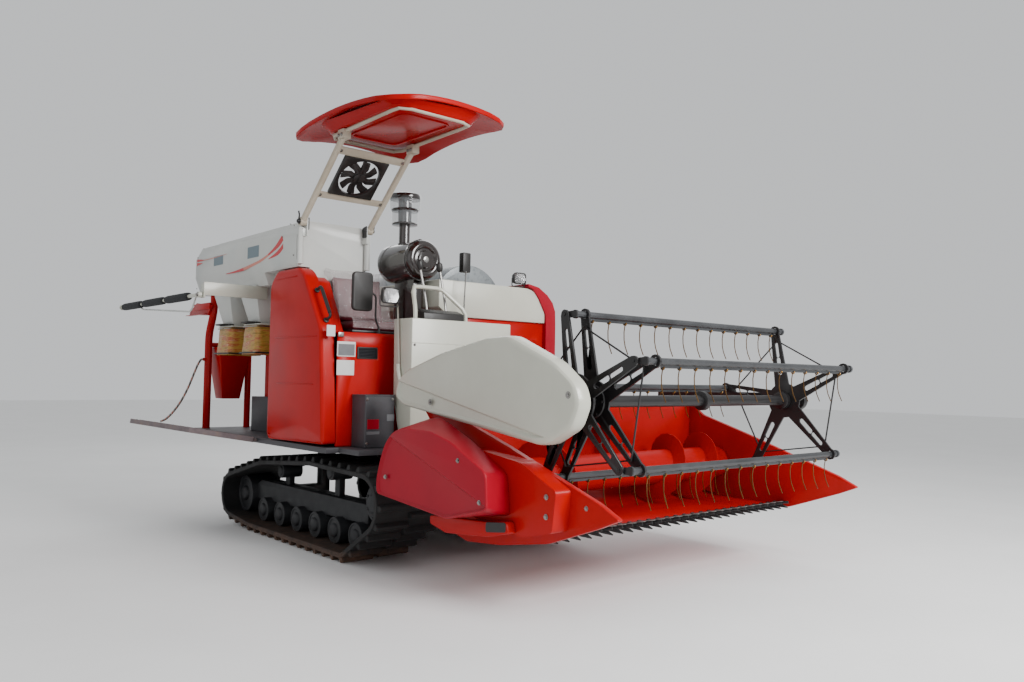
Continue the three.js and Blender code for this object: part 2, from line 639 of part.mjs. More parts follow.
function railArm() {
  const r = HAND_RAIL;
  const arm = block(r.x + 18, -790, r.y - r.eye - 14, r.y - r.eye - 4, r.z - 2, TANK.bottom - SEAT_GAP);
  const lug = block(r.x + 18, r.x + 28, r.y - r.eye - 14, r.y + r.eye, r.z - r.eye, TANK.bottom - 10);
  return join(arm, lug, axle(r.x - 14, r.x + 20, r.y, r.z, 7));
}

function handRail() {
  const r = HAND_RAIL;
  const bore = axle(r.x - 20, r.x + 20, r.y, r.z, 7 + PIN_GAP, 12);
  const eye = cut(axle(r.x - 13, r.x + 13, r.y, r.z, r.eye, 20), bore);
  const tube = rod([r.x, r.y + 15, r.z], [r.x, r.rear, r.z], 13);
  const gripAt = (start) => rod([r.x, start, r.z], [r.x, start + 470, r.z], r.radius);
  const grips = [0, 1, 2].map((i) => gripAt(r.y + 170 + i * 500));
  return join(eye, tube, ...grips);
}

place("grain_tank", grainTank(), creamPaint());
place("bag_sleeve_front", bagSleeve(CHUTE.ys[0]), sleevePlastic());
place("bag_sleeve_rear", bagSleeve(CHUTE.ys[1]), sleevePlastic());
place("tank_frame", tankFrame(), redPaint());
place("rear_hopper", rearHopper(), redPaint());
place("rail_arm", railArm(), creamPaint());
place("hold_chain", holdChain(), steelTube());

const platform = jointGroup("platform_fold", machine, FOLD.x, 900, FOLD.z);
place("bagging_platform", baggingPlatform(), darkGrey(), platform);
const rail = jointGroup("hand_rail_lift", machine, HAND_RAIL.x, HAND_RAIL.y, HAND_RAIL.z);
place("hand_rail", handRail(), blackPaint(), rail);

// ---------------------------------------------------------------- canopy

const postPoint = (x, share) => [x, CANOPY_PIVOT.y + POST_RISE.y * share, CANOPY_PIVOT.z + POST_RISE.z * share];

// The flat between two stations of the posts, drawn square to them.
function acrossPosts(from, to, x0, x1, depth) {
  const length = Math.hypot(POST_RISE.y, POST_RISE.z);
  const plate = new THREE.BoxGeometry(x1 - x0, length * (to - from), depth);
  const lean = Math.atan2(POST_RISE.z, POST_RISE.y);
  plate.rotateX(lean);
  return plate.translate(...postPoint((x0 + x1) / 2, (from + to) / 2));
}

function canopyFrame() {
  const [right, left] = CANOPY_POST_X;
  const { y: pivotY, z: pivotZ, pin } = CANOPY_PIVOT;
  const posts = [right, left].map((x) => cut(
    join(rod(postPoint(x, 0), postPoint(x, 1.06), 20, 8), axle(x - 20, x + 20, pivotY, pivotZ, 26, 20)),
    axle(x - 30, x + 30, pivotY, pivotZ, pin + PIN_GAP + 0.1, 16)));
  const bars = [acrossPosts(0.32, 0.39, right, left, 8), acrossPosts(0.84, 0.92, right, left, 8)];
  const [rear, front, height] = [-560, -1330, 2522];
  const loop = bentTube(
    [[(right + left) / 2, rear, height], [left, rear, height], [left, front, height + 14],
     [right, front, height + 14], [right, rear, height], [(right + left) / 2, rear, height]], 12, 60, 70);
  const stubs = [-720, -1190].flatMap((y) => [right, left].map((x) => rod([x, y, height], [x, y, ROOF.top], 8, 8)));
  const reach = common(join(...stubs), roofDome(ROOF.thickness + SEAT_GAP));
  return join(...posts, ...bars, loop, reach);
}

// The dome that the roof's skin is cut from, lowered by the drop.
function roofDome(drop) {
  const dome = new THREE.SphereGeometry(1, 40, 24).rotateX(Math.PI / 2).scale(1000, 1300, ROOF.crown);
  return dome.translate(ROOF.x, ROOF.y, ROOF.top - ROOF.crown - drop);
}

// A shallow dome on a rounded rectangle, open below.
function canopyRoof() {
  const r = ROOF;
  const shape = [[-1, -1], [1, -1], [1, 1], [-1, 1]].map(([u, v]) => [
    r.x + u * (r.width / 2) * (v < 0 ? 0.88 : 1), r.y + (v * r.length) / 2]);
  const prism = plateZ(shape, r.top - 300, r.top + 10, 190);
  return cut(common(roofDome(0), prism), roofDome(r.thickness));
}

const FAN_X = (CANOPY_POST_X[0] + CANOPY_POST_X[1]) / 2 - 20;
const FAN_SHARE = 0.615; // how far up the posts the fan's middle is
const FAN_HUB = 9;
const FAN_STRUT = FAN_HUB + SEAT_GAP + 3; // from the fan's middle plane to the middle of the strut above it

function fanShroud() {
  const middle = FAN_X;
  const plate = acrossPosts(0.3905, 0.8395, middle - FAN.size / 2, middle + FAN.size / 2, FAN.depth);
  const lean = Math.atan2(POST_RISE.z, POST_RISE.y);
  const strut = acrossPosts(0.4, 0.83, middle - 9, middle + 9, 6);
  strut.translate(0, Math.sin(lean) * FAN_STRUT, -Math.cos(lean) * FAN_STRUT);
  const hole = rod([0, 0, -60], [0, 0, 60], FAN.hole, 32).rotateX(lean);
  hole.translate(...postPoint(middle, FAN_SHARE));
  return join(cut(plate, hole), strut);
}

// The rotor's blades are swept vanes on a hub, turning in the shroud's round hole.
function fanRotor() {
  const lean = Math.atan2(POST_RISE.z, POST_RISE.y);
  const vane = (i) => {
    const leaf = [[20, -14], [70, -30], [FAN.hole - 10, -14], [FAN.hole - 12, 22], [70, 4], [20, 12]];
    const blade = slab(outline(leaf, 8), 4);
    return blade.translate(0, 0, -2).rotateZ((2 * Math.PI * i) / FAN.blades);
  };
  const hub = rod([0, 0, -FAN_HUB], [0, 0, FAN_HUB], 36, 16);
  const vanes = Array.from({ length: FAN.blades }, (_, i) => vane(i));
  return join(hub, ...vanes).rotateX(lean).translate(...postPoint(FAN_X, FAN_SHARE));
}

const canopyMiddle = (CANOPY_POST_X[0] + CANOPY_POST_X[1]) / 2;
const canopy = jointGroup("canopy_fold", machine, canopyMiddle, CANOPY_PIVOT.y, CANOPY_PIVOT.z);
place("canopy_frame", canopyFrame(), creamPaint(), canopy);
place("canopy_roof", canopyRoof(), redPaint(), canopy);
place("fan_shroud", fanShroud(), blackPaint(), canopy);
const fan = jointGroup("canopy_fan_spin", canopy, ...postPoint(FAN_X, FAN_SHARE));
place("canopy_fan", fanRotor(), blackPaint(), fan);

// ---------------------------------------------------------------- header

const header = jointGroup("header_lift", machine, (FEEDER.x0 + FEEDER.x1) / 2, HEADER_PIVOT.y, HEADER_PIVOT.z);

function feederHouse() {
  const f = FEEDER;
  const body = plateX(
    [[f.rear, 1010], [f.front, 390], [f.front, 835], [f.rear, 1372]].reverse(), f.x0, f.x1);
  const { z0, z1, depth } = f.inlet;
  const mouth = plateX([[f.front - 10, z0], [f.front + depth, z0 + 100], [f.front + depth, z1], [f.front - 10, z1]],
    f.x0 + 30, f.x1 - 30);
  const trunnion = axle(f.x0 - 50, f.x1 + 50, HEADER_PIVOT.y, HEADER_PIVOT.z, 30, 32);
  const lug = plateX([[LIFT.eyeY + 60, 620], [LIFT.eyeY - 12, 560], [LIFT.eyeY - 24, LIFT.eyeZ - 24],
    [LIFT.eyeY + 24, LIFT.eyeZ - 24]].reverse(), LIFT.x + 24, LIFT.x + 36);
  return join(cut(body, mouth), trunnion, lug);
}

const SHEET_OUTLINE = [
  [-2620, 490], [-2500, 440], [-2170, 322], [-1820, 262], [-1550, 240], [-1300, 300], [-1275, 600], [-1270, 780],
  [-1110, 945], [-1110, 1050], [-1260, 1060], [-1500, 872], [-1850, 764], [-2250, 630], [-2500, 546],
];

// The right sheet stands on a closed box that carries the drive's pulleys and guard.
const BOX_FACE = -648;
const BOX_OUTLINE = [
  [-1350, 735], [-1800, 735], [-2080, 700], [-2325, 590], [-2300, 400], [-2100, 352], [-1750, 395], [-1350, 470],
];

function sideSheet(x0, ...extras) {
  const plate = join(plateX(SHEET_OUTLINE, x0, x0 + HEADER.sheet, 18), ...extras);
  const bore = axle(x0 - 10, x0 + HEADER.sheet + 10, ARM.pivotY, ARM.pivotZ, 16 + PIN_GAP, 24);
  return cut(plate, bore);
}

// Floor, trough and back wall are one bent sheet with the way to the feeder cut in it.
function headerTrough() {
  const t = BACK_WALL.thickness;
  const inner = AUGER.flight + AUGER.clearance;
  const under = (r) => arc(AUGER.y, AUGER.z, r, 270, 360, 9);
  const back = AUGER.y + inner;
  const section = [
    [KNIFE.y + 20, KNIFE.z - 14], [KNIFE.y + 20, KNIFE.z - 14 - t], ...under(inner + t), [back + t, BACK_WALL.top],
    [back, BACK_WALL.top], ...under(inner).reverse(),
  ];
  const x0 = HEADER.right + HEADER.sheet + SEAT_GAP;
  const x1 = HEADER.left - HEADER.sheet - SEAT_GAP;
  const f = FEEDER;
  const way = block(f.x0 + 30, f.x1 - 30, back - 60, back + 60, f.inlet.z0, f.inlet.z1);
  return cut(plateX(section, x0, x1), way);
}

// The finger bar is drawn level and tipped up with the header.
function cutterBar() {
  const x0 = HEADER.right + HEADER.sheet + SEAT_GAP;
  const x1 = HEADER.left - HEADER.sheet - SEAT_GAP;
  const count = Math.floor((x1 - x0) / KNIFE.pitch);
  const start = (x0 + x1 - count * KNIFE.pitch) / 2;
  const front = -KNIFE.width / 2;
  const edge = [[x1, KNIFE.width / 2], [x0, KNIFE.width / 2], [x0, front]];
  for (let i = 0; i < count; i++) {
    const x = start + KNIFE.pitch * (i + 0.5);
    edge.push([x - 15, front], [x - 3, front - KNIFE.finger], [x + 3, front - KNIFE.finger], [x + 15, front]);
  }
  edge.push([x1, front]);
  const bar = plateZ(edge, -8, 8);
  return bar.rotateX(-THREE.MathUtils.degToRad(KNIFE.tilt)).translate(0, KNIFE.y - 12, KNIFE.z);
}

const FLIGHT_STEPS = 20; // the tube has as many facets as a turn of the flight has steps

// A helical flight of rectangular section round the tube.
function flight(x0, x1, hand) {
  const steps = Math.round((Math.abs(x1 - x0) / AUGER.pitch) * FLIGHT_STEPS);
  const half = 3;
  const inner = AUGER.tube - 8;
  const points = [];
  for (let i = 0; i <= steps; i++) {
    const a = (hand * 2 * Math.PI * i) / FLIGHT_STEPS;
    const x = x0 + ((x1 - x0) * i) / steps;
    for (const [r, dx] of [[inner, -half], [AUGER.flight, -half], [AUGER.flight, half], [inner, half]])
      points.push(x + dx, AUGER.y + r * Math.cos(a), AUGER.z + r * Math.sin(a));
  }
  const faces = [0, 1, 2, 0, 2, 3];
  for (let i = 0; i < steps; i++)
    for (let k = 0; k < 4; k++) {
      const [a, b] = [4 * i + k, 4 * i + ((k + 1) % 4)];
      // both broad faces are split along the same diagonal
      if (k === 2) faces.push(a, a + 4, b + 4, a, b + 4, b);
      else faces.push(a, a + 4, b, b, a + 4, b + 4);
    }
  const end = 4 * steps;
  faces.push(end, end + 2, end + 1, end, end + 3, end + 2);
  const strip = new THREE.BufferGeometry();
  strip.setAttribute("position", new THREE.Float32BufferAttribute(points, 3));
  strip.setIndex(hand > 0 ? faces : faces.reverse());
  return strip;
}

function auger() {
  const x0 = HEADER.right + HEADER.sheet + RUN_GAP;
  const x1 = HEADER.left - HEADER.sheet - RUN_GAP;
  const tube = axle(x0, x1, AUGER.y, AUGER.z, AUGER.tube, FLIGHT_STEPS);
  const stubs = axle(x0 - RUN_GAP + SEAT_GAP, x1 + RUN_GAP - SEAT_GAP, AUGER.y, AUGER.z, 28, 16);
  return join(tube, stubs, flight(x0 + 12, FEEDER.x0 - 20, 1), flight(FEEDER.x1 + 20, x1 - 12, -1));
}

const DRIVE_OUTLINE = [
  [-1100, 455], [-1750, 405], [-2140, 480], [-2245, 520], [-2238, 710], [-2080, 792], [-1810, 860], [-1620, 868],
  [-1377, 862], [-1216, 800], [-1142, 670], [-1098, 533],
].reverse();

// The belt guard on the right side sheet's box stays clear of the track.
function headerDriveGuard() {
  const outer = -840;
  const inner = BOX_FACE - SEAT_GAP;
  const pan = plateX(DRIVE_OUTLINE, outer, inner, 40);
  const hollow = plateX(inset(DRIVE_OUTLINE, 16), outer + 16, inner + 10, 30);
  const trackRoom = block(outer + 27, inner + 20, -1330, -1000, 300, 1000);
  return cut(pan, hollow, trackRoom);
}

place("feeder_house", feederHouse(), redPaint(), header);
place("header_trough", headerTrough(), redPaint(), header);
const reelRamPin = axle(HEADER.right + 20, REEL_LIFT.x + 12, REEL_LIFT.y, REEL_LIFT.baseZ, REEL_LIFT.pin, 16);
const sheetBox = plateX(BOX_OUTLINE, BOX_FACE, HEADER.right + 5, 20);
place("side_sheet_right", sideSheet(HEADER.right, reelRamPin, sheetBox), redPaint(), header);
place("side_sheet_left", sideSheet(HEADER.left - HEADER.sheet), redPaint(), header);
place("cutter_bar", cutterBar(), blackPaint(), header);
place("header_drive_guard", headerDriveGuard(), crimsonPlastic(), header);
const augerTurn = jointGroup("auger_spin", header, 500, AUGER.y, AUGER.z);
place("auger", auger(), redPaint(), augerTurn);

// ---------------------------------------------------------------- reel

const reelArms = jointGroup("reel_lift", header, 500, ARM.pivotY, ARM.pivotZ);

function reelArm(x0) {
  const inboard = x0 > 0 ? -1 : 1; // the header's middle is on this side of the arm
  const x1 = x0 + ARM.thickness;
  const beam = block(x0, x1, REEL.y, ARM.pivotY, ARM.pivotZ - ARM.depth / 2, ARM.pivotZ + ARM.depth / 2);
  const rearBoss = axle(x0, x1, ARM.pivotY, ARM.pivotZ, 46, 24);
  const bearing = axle(x0, x1, REEL.y, REEL.z, 62, 28);
  const bore = axle(x0 - 10, x1 + 10, REEL.y, REEL.z, REEL.shaft + 0.9, 24);
  const out = inboard > 0 ? x0 : x1;
  const pivotPin = axle(out - inboard * 76, out + inboard * 10, ARM.pivotY, ARM.pivotZ, 16, 24);
  return { x0, x1, parts: [beam, rearBoss, bearing, pivotPin], bore };
}

// The right arm also carries the round cam that holds the second star off centre.
function reelArmRight() {
  const arm = reelArm(ARM.right);
  const cam = axle(arm.x1 - 1, CAM_END, REEL.y + CRANK, REEL.z, CAM_RADIUS, 48);
  const throat = axle(arm.x1 + 2, CAM_END + 10, REEL.y, REEL.z, REEL.shaft + 8, 24);
  const eye = plateX([[REEL_LIFT.y - 22, ARM.pivotZ - 30], [REEL_LIFT.y + 22, ARM.pivotZ - 30],
    [REEL_LIFT.y + 14, REEL_LIFT.eyeZ - 14], [REEL_LIFT.y - 14, REEL_LIFT.eyeZ - 14]].reverse(), arm.x0 + 14, arm.x0 + 26);
  const pin = axle(arm.x0 + 14, REEL_LIFT.x + 12, REEL_LIFT.y, REEL_LIFT.eyeZ, REEL_LIFT.pin, 16);
  return cut(join(...arm.parts, cam, eye, pin), throat, arm.bore);
}

function reelArmLeft() {
  const arm = reelArm(ARM.left);
  return cut(join(...arm.parts), arm.bore);
}

const CAM_RADIUS = 105;
const STAR_X = HEADER.right + 122; // outer face of the second star
const CAM_END = STAR_X + 14;
const SPIDER_XS = [HEADER.right + 210, HEADER.left - 220];
const STAR_DEPTH = 12;

const batAngle = (i) => THREE.MathUtils.degToRad(FIRST_BAT_ANGLE - (360 / REEL.bats) * i);
const batCentre = (i) => {
  const angle = batAngle(i);
  return [REEL.y - REEL.radius * Math.cos(angle), REEL.z + REEL.radius * Math.sin(angle)];
};

// A five-armed star plate with an eye at the end of each arm.
function star(x0, depth, dy, hub, eye, hole) {
  const centre = [REEL.y + dy, REEL.z];
  const arms = Array.from({ length: REEL.bats }, (_, i) => {
    const [y, z] = batCentre(i);
    const end = [y + dy, z];
    const side = new THREE.Vector2(-(end[1] - centre[1]), end[0] - centre[0]).setLength(1);
    const edge = (p, w) => [p[0] + side.x * w, p[1] + side.y * w];
    return plateX([edge(centre, -52), edge(end, -26), edge(end, 26), edge(centre, 52)].reverse(), x0, x0 + depth);
  });
  const eyes = Array.from({ length: REEL.bats }, (_, i) => {
    const [y, z] = batCentre(i);
    return axle(x0, x0 + depth, y + dy, z, eye, 12);
  });
  const holes = Array.from({ length: REEL.bats }, (_, i) => {
    const [y, z] = batCentre(i);
    return axle(x0 - 10, x0 + depth + 10, y + dy, z, hole, 14);
  });
  return { whole: join(axle(x0, x0 + depth, ...centre, hub, 32), ...arms, ...eyes), holes };
}

function reelRotor() {
  const spiders = SPIDER_XS.map((x) => {
    const spider = star(x, STAR_DEPTH, 0, 105, 32, BAT.radius + 2 * PIN_GAP);
    return cut(spider.whole, ...spider.holes);
  });
  const shaft = axle(ARM.right - 70, ARM.left + ARM.thickness + 20, REEL.y, REEL.z, REEL.shaft, 24);
  return join(shaft, ...spiders);
}

function crankStar() {
  const plate = star(STAR_X, STAR_DEPTH, CRANK, CAM_RADIUS + 34, 24, 8 + PIN_GAP);
  const ring = axle(STAR_X - 10, STAR_X + STAR_DEPTH + 10, REEL.y + CRANK, REEL.z, CAM_RADIUS + 1.2, 48);
  return cut(plate.whole, ...plate.holes, ring);
}

// A slat tube with its row of spring tines, and a short crank to the second star.
function bat(i) {
  const [y, z] = batCentre(i);
  const crankX = STAR_X + STAR_DEPTH + SEAT_GAP;
  const tube = axle(crankX + 4, REEL.left, y, z, BAT.radius, 16);
  const crank = plateX([[y - 22, z - 20], [y + CRANK + 16, z - 13], [y + CRANK + 16, z + 13], [y - 22, z + 20]],
    crankX, crankX + 10, 8);
  const pin = axle(STAR_X - 4, crankX + 5, y + CRANK, z, 8, 12);
  const first = SPIDER_XS[0] + 60;
  const last = SPIDER_XS[1] - 40;
  const tines = Array.from({ length: BAT.tines }, (_, k) => {
    const x = first + ((last - first) * k) / (BAT.tines - 1);
    const t = BAT.thickness;
    return plateX(
      [[y - t, z - 10], [y - t - 10, z - 110], [y + 22, z - BAT.tine], [y + 22 + t, z - BAT.tine + 3],
       [y - 1, z - 108], [y + t, z - 10]], x, x + t);
  });
  return join(tube, crank, pin, ...tines);
}

const GUARD_OUTLINE = [
  [-948, 985], [-975, 1078], [-1065, 1136], [-1400, 1234], [-1780, 1304], [-1960, 1310], [-2290, 1178],
  [-2425, 1076], [-2455, 990], [-2405, 878], [-2250, 796], [-2180, 788], [-1022, 937],
];

function reelDriveGuard() {
  const outer = -640;
  const inner = HEADER.right - RUN_GAP;
  const pan = plateX(GUARD_OUTLINE, outer, inner, 45);
  const hollow = plateX(inset(GUARD_OUTLINE, 12), outer + 12, inner + 10, 35);
  const pegs = [[-2110, ARM.pivotZ + 20], [-1560, ARM.pivotZ + 20]].map(([y, z]) =>
    axle(outer + 6, ARM.right - SEAT_GAP, y, z, 12, 12));
  return join(cut(pan, hollow), ...pegs);
}

place("reel_arm_right", reelArmRight(), blackPaint(), reelArms);
place("reel_arm_left", reelArmLeft(), blackPaint(), reelArms);
place("reel_drive_guard", reelDriveGuard(), creamPaint(), reelArms);
const reel = jointGroup("reel_spin", reelArms, 500, REEL.y, REEL.z);
place("reel_rotor", reelRotor(), blackPaint(), reel);
const second = jointGroup("crank_star_spin", reelArms, STAR_X, REEL.y + CRANK, REEL.z);
place("crank_star", crankStar(), blackPaint(), second);
for (let i = 0; i < REEL.bats; i++) {
  const turn = jointGroup(`bat_${i + 1}_turn`, reel, 500, ...batCentre(i));
  place(`reel_bat_${i + 1}`, bat(i), steelTube(), turn);
}

// ---------------------------------------------------------------- cylinders

// A barrel from its base eye, and a rod from inside the barrel's bore to its own eye.
function ram(base, eye, size) {
  const from = new THREE.Vector3(...base);
  const along = new THREE.Vector3(...eye).sub(from);
  const reach = along.length();
  const at = (distance) => from.clone().addScaledVector(along, distance / reach).toArray();
  const ring = (p, radius, half, hole) => cut(
    axle(p[0] - half, p[0] + half, p[1], p[2], radius, 20),
    axle(p[0] - half - 5, p[0] + half + 5, p[1], p[2], hole, 16));
  const inside = size.length - size.out - 30;
  const bore = rod(at(inside - size.in - 12), at(size.length + 10), size.rod + 2 * PIN_GAP, 20);
  const barrel = cut(rod(at(size.pin + 6), at(size.length), size.barrel, 20), bore);
  const shaft = rod(at(inside), at(reach - size.pin - 4), size.rod, 20);
  return {
    barrel: join(barrel, ring(base, size.barrel, 11, size.pin + PIN_GAP + 0.1)),
    rod: join(shaft, ring(eye, size.pin + 12, 10, size.pin + size.eyeGap)),
  };
}

const lift = ram([LIFT.x, LIFT.baseY, LIFT.baseZ], [LIFT.x, LIFT.eyeY, LIFT.eyeZ], LIFT);
const liftBarrel = jointGroup("lift_barrel_turn", machine, LIFT.x, LIFT.baseY, LIFT.baseZ);
place("lift_barrel", lift.barrel, blackPaint(), liftBarrel);
const liftRod = jointGroup("lift_rod_slide", liftBarrel, LIFT.x, LIFT.eyeY, LIFT.eyeZ);
place("lift_rod", lift.rod, steelTube(), liftRod);

const reelRam = ram(
  [REEL_LIFT.x, REEL_LIFT.y, REEL_LIFT.baseZ], [REEL_LIFT.x, REEL_LIFT.y, REEL_LIFT.eyeZ], REEL_LIFT);
const reelBarrel = jointGroup("reel_barrel_turn", header, REEL_LIFT.x, REEL_LIFT.y, REEL_LIFT.baseZ);
place("reel_lift_barrel", reelRam.barrel, blackPaint(), reelBarrel);
const reelRod = jointGroup("reel_rod_slide", reelBarrel, REEL_LIFT.x, REEL_LIFT.y, REEL_LIFT.eyeZ);
place("reel_lift_rod", reelRam.rod, steelTube(), reelRod);

// ---------------------------------------------------------------- the part's own frame

const bounds = new THREE.Box3().setFromObject(machine);
machine.position.set(-(bounds.min.x + bounds.max.x) / 2, -(bounds.min.y + bounds.max.y) / 2, -bounds.min.z);
const combine = new THREE.Group().add(machine);

export default combine;
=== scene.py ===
"""Looks for a small tracked combine harvester: finishes, guards, tracks, reel, canopy and small fittings.
Sizes are in millimetres in the drawing's own frame; its origin is on the ground, midway between the tracks."""

import json
import math

import bmesh
import bpy
from mathutils import Matrix, Vector, noise

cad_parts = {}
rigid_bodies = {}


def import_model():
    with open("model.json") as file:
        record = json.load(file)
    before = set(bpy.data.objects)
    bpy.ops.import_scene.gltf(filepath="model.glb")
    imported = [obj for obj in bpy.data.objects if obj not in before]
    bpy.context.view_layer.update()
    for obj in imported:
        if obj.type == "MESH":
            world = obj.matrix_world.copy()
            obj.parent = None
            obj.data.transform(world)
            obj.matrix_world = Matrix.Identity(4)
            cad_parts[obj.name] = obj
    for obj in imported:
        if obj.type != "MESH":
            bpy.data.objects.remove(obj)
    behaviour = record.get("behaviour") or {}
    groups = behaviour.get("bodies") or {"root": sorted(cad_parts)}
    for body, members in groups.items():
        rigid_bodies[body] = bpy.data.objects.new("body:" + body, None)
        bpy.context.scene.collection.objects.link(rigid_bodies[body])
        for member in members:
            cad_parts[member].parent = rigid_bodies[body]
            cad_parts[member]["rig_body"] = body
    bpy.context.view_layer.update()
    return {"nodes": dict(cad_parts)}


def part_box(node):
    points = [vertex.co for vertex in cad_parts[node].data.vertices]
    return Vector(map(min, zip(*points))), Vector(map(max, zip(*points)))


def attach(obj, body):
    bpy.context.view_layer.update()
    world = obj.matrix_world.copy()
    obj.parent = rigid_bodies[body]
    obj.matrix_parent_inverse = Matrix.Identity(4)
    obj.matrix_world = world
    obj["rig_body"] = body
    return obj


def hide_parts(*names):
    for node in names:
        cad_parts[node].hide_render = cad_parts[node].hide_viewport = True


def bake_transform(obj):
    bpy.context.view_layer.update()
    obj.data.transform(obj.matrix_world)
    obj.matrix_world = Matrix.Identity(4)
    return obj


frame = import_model()
NODES = frame["nodes"]
# the engine housing's front right lower corner is at (-805, -590, 672.3) in the drawing
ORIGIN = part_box("engine_housing")[0] - Vector((-0.805, -0.590, 0.6723))


def at(x, y, z):
    return ORIGIN + Vector((x, y, z)) / 1000


# ------------------------------------------------------------------ the camera

EYE = (-3330, -5130, 1100)


def viewpoint():
    """An eye at chest height, looking at the machine's front right corner."""
    bpy.ops.object.camera_add()
    camera = bpy.context.object
    camera.data.lens, camera.data.sensor_width = 30.0, 36.0
    heading, rise, roll = (math.radians(a) for a in (40.602, 2.4957, 0.9897))
    ahead = Vector((math.sin(heading) * math.cos(rise), math.cos(heading) * math.cos(rise), math.sin(rise)))
    right = ahead.cross(Vector((0, 0, 1))).normalized()
    up = right.cross(ahead)
    right = right * math.cos(roll) + up * math.sin(roll)
    up = right.cross(ahead)
    place = Matrix((right, up, -ahead)).transposed().to_4x4()
    place.translation = at(*EYE)
    camera.matrix_world = place
    bpy.context.scene.camera = camera


viewpoint()

# ------------------------------------------------------------------ modelling tools


def only(obj):
    if bpy.context.object and bpy.context.object.mode != "OBJECT":
        bpy.ops.object.mode_set(mode="OBJECT")
    bpy.ops.object.select_all(action="DESELECT")
    obj.select_set(True)
    bpy.context.view_layer.objects.active = obj


def settle(obj):
    only(obj)
    bpy.ops.object.transform_apply(location=True, rotation=True, scale=True)
    return obj


def edit(obj, what="FACE"):
    only(obj)
    bpy.ops.object.mode_set(mode="EDIT")
    bpy.ops.mesh.select_mode(type=what)


def leave():
    bpy.ops.object.mode_set(mode="OBJECT")


def pick(obj, what, test):
    """In edit mode, selects the faces, edges or vertices for which test(item) holds."""
    bpy.ops.mesh.select_mode(type=what)
    bpy.ops.mesh.select_all(action="DESELECT")
    shape = bmesh.from_edit_mesh(obj.data)
    for item in {"FACE": shape.faces, "EDGE": shape.edges, "VERT": shape.verts}[what]:
        if test(item):
            item.select_set(True)
    shape.select_flush_mode()
    bmesh.update_edit_mesh(obj.data)


def outward(obj):
    edit(obj)
    bpy.ops.mesh.select_all(action="SELECT")
    bpy.ops.mesh.normals_make_consistent(inside=False)
    leave()
    return obj


def block(x0, x1, y0, y1, z0, z1):
    if bpy.context.object and bpy.context.object.mode != "OBJECT":
        leave()
    bpy.ops.mesh.primitive_cube_add(size=1, location=(at(x0, y0, z0) + at(x1, y1, z1)) / 2)
    obj = bpy.context.object
    obj.scale = Vector((x1 - x0, y1 - y0, z1 - z0)) / 1000
    return settle(obj)


def bevelled(obj, width, segments=2, angle=30):
    edge = obj.modifiers.new("edge", "BEVEL")
    edge.width, edge.segments, edge.limit_method = width / 1000, segments, "ANGLE"
    edge.angle_limit = math.radians(angle)
    only(obj)
    bpy.ops.object.modifier_apply(modifier=edge.name)
    return obj


def walled(obj, wall, side=-1):
    shell = obj.modifiers.new("wall", "SOLIDIFY")
    shell.thickness, shell.offset = wall / 1000, side
    only(obj)
    bpy.ops.object.modifier_apply(modifier=shell.name)
    return obj


def pierced(obj, cutter, solver="MANIFOLD"):
    hole = obj.modifiers.new("hole", "BOOLEAN")
    hole.operation, hole.object, hole.solver = "DIFFERENCE", cutter, solver
    only(obj)
    bpy.ops.object.modifier_apply(modifier=hole.name)
    bpy.data.objects.remove(cutter)
    return obj


def joined(*pieces):
    only(pieces[0])
    for piece in pieces[1:]:
        piece.select_set(True)
    if len(pieces) > 1:
        bpy.ops.object.join()
    return bpy.context.object


def copy_of(obj, place=Matrix.Identity(4)):
    twin = bpy.data.objects.new(obj.name, obj.data.copy())
    bpy.context.scene.collection.objects.link(twin)
    twin.data.transform(place)
    if place.determinant() < 0:
        twin.data.flip_normals()
    return twin


def rounded(points, radius, steps=4):
    """The outline with each corner rounded."""
    if not radius:
        return [Vector(p) for p in points]
    out = []
    for i, p in enumerate(points):
        corner, before, after = Vector(p), Vector(points[i - 1]), Vector(points[(i + 1) % len(points)])
        reach = min(radius, (before - corner).length * 0.45, (after - corner).length * 0.45)
        a, b = corner + (before - corner).normalized() * reach, corner + (after - corner).normalized() * reach
        for k in range(steps + 1):
            t = k / steps
            out.append(a * (1 - t) ** 2 + corner * 2 * t * (1 - t) + b * t * t)
    return out


def oblong(u0, u1, v0, v1):
    """The four corners of an oblong that lies along the axes."""
    return [(u0, v0), (u1, v0), (u1, v1), (u0, v1)]


def along(axis, d, u, v):
    """A point at d along the axis, and at u and v along the other two."""
    return {"X": at(d, u, v), "Y": at(u, d, v), "Z": at(u, v, d)}[axis]


def lofted(rings, ends=True):
    """A skin through rings of equally many points, each [(x, y, z), ...], closed at both ends or open."""
    count = len(rings[0])
    bpy.ops.mesh.primitive_circle_add(vertices=count, radius=1, fill_type="NGON" if ends else "NOTHING")
    obj = bpy.context.object
    for vertex, p in zip(obj.data.vertices, rings[0]):
        vertex.co = at(*p)
    for before, ring in zip(rings, rings[1:]):
        edit(obj, "FACE" if ends and before is rings[0] else "EDGE")
        if before is rings[0]:
            bpy.ops.mesh.select_all(action="SELECT")
        if ends:
            bpy.ops.mesh.extrude_region_move(TRANSFORM_OT_translate={"value": (0, 0, 0)})
        else:
            bpy.ops.mesh.extrude_edges_move(TRANSFORM_OT_translate={"value": (0, 0, 0)})
        leave()
        old = [at(*p) for p in before]
        for vertex in [v for v in obj.data.vertices if v.select]:
            nearest = min(range(count), key=lambda i: (old[i] - vertex.co).length_squared)
            vertex.co = at(*ring[nearest])
    return outward(obj)


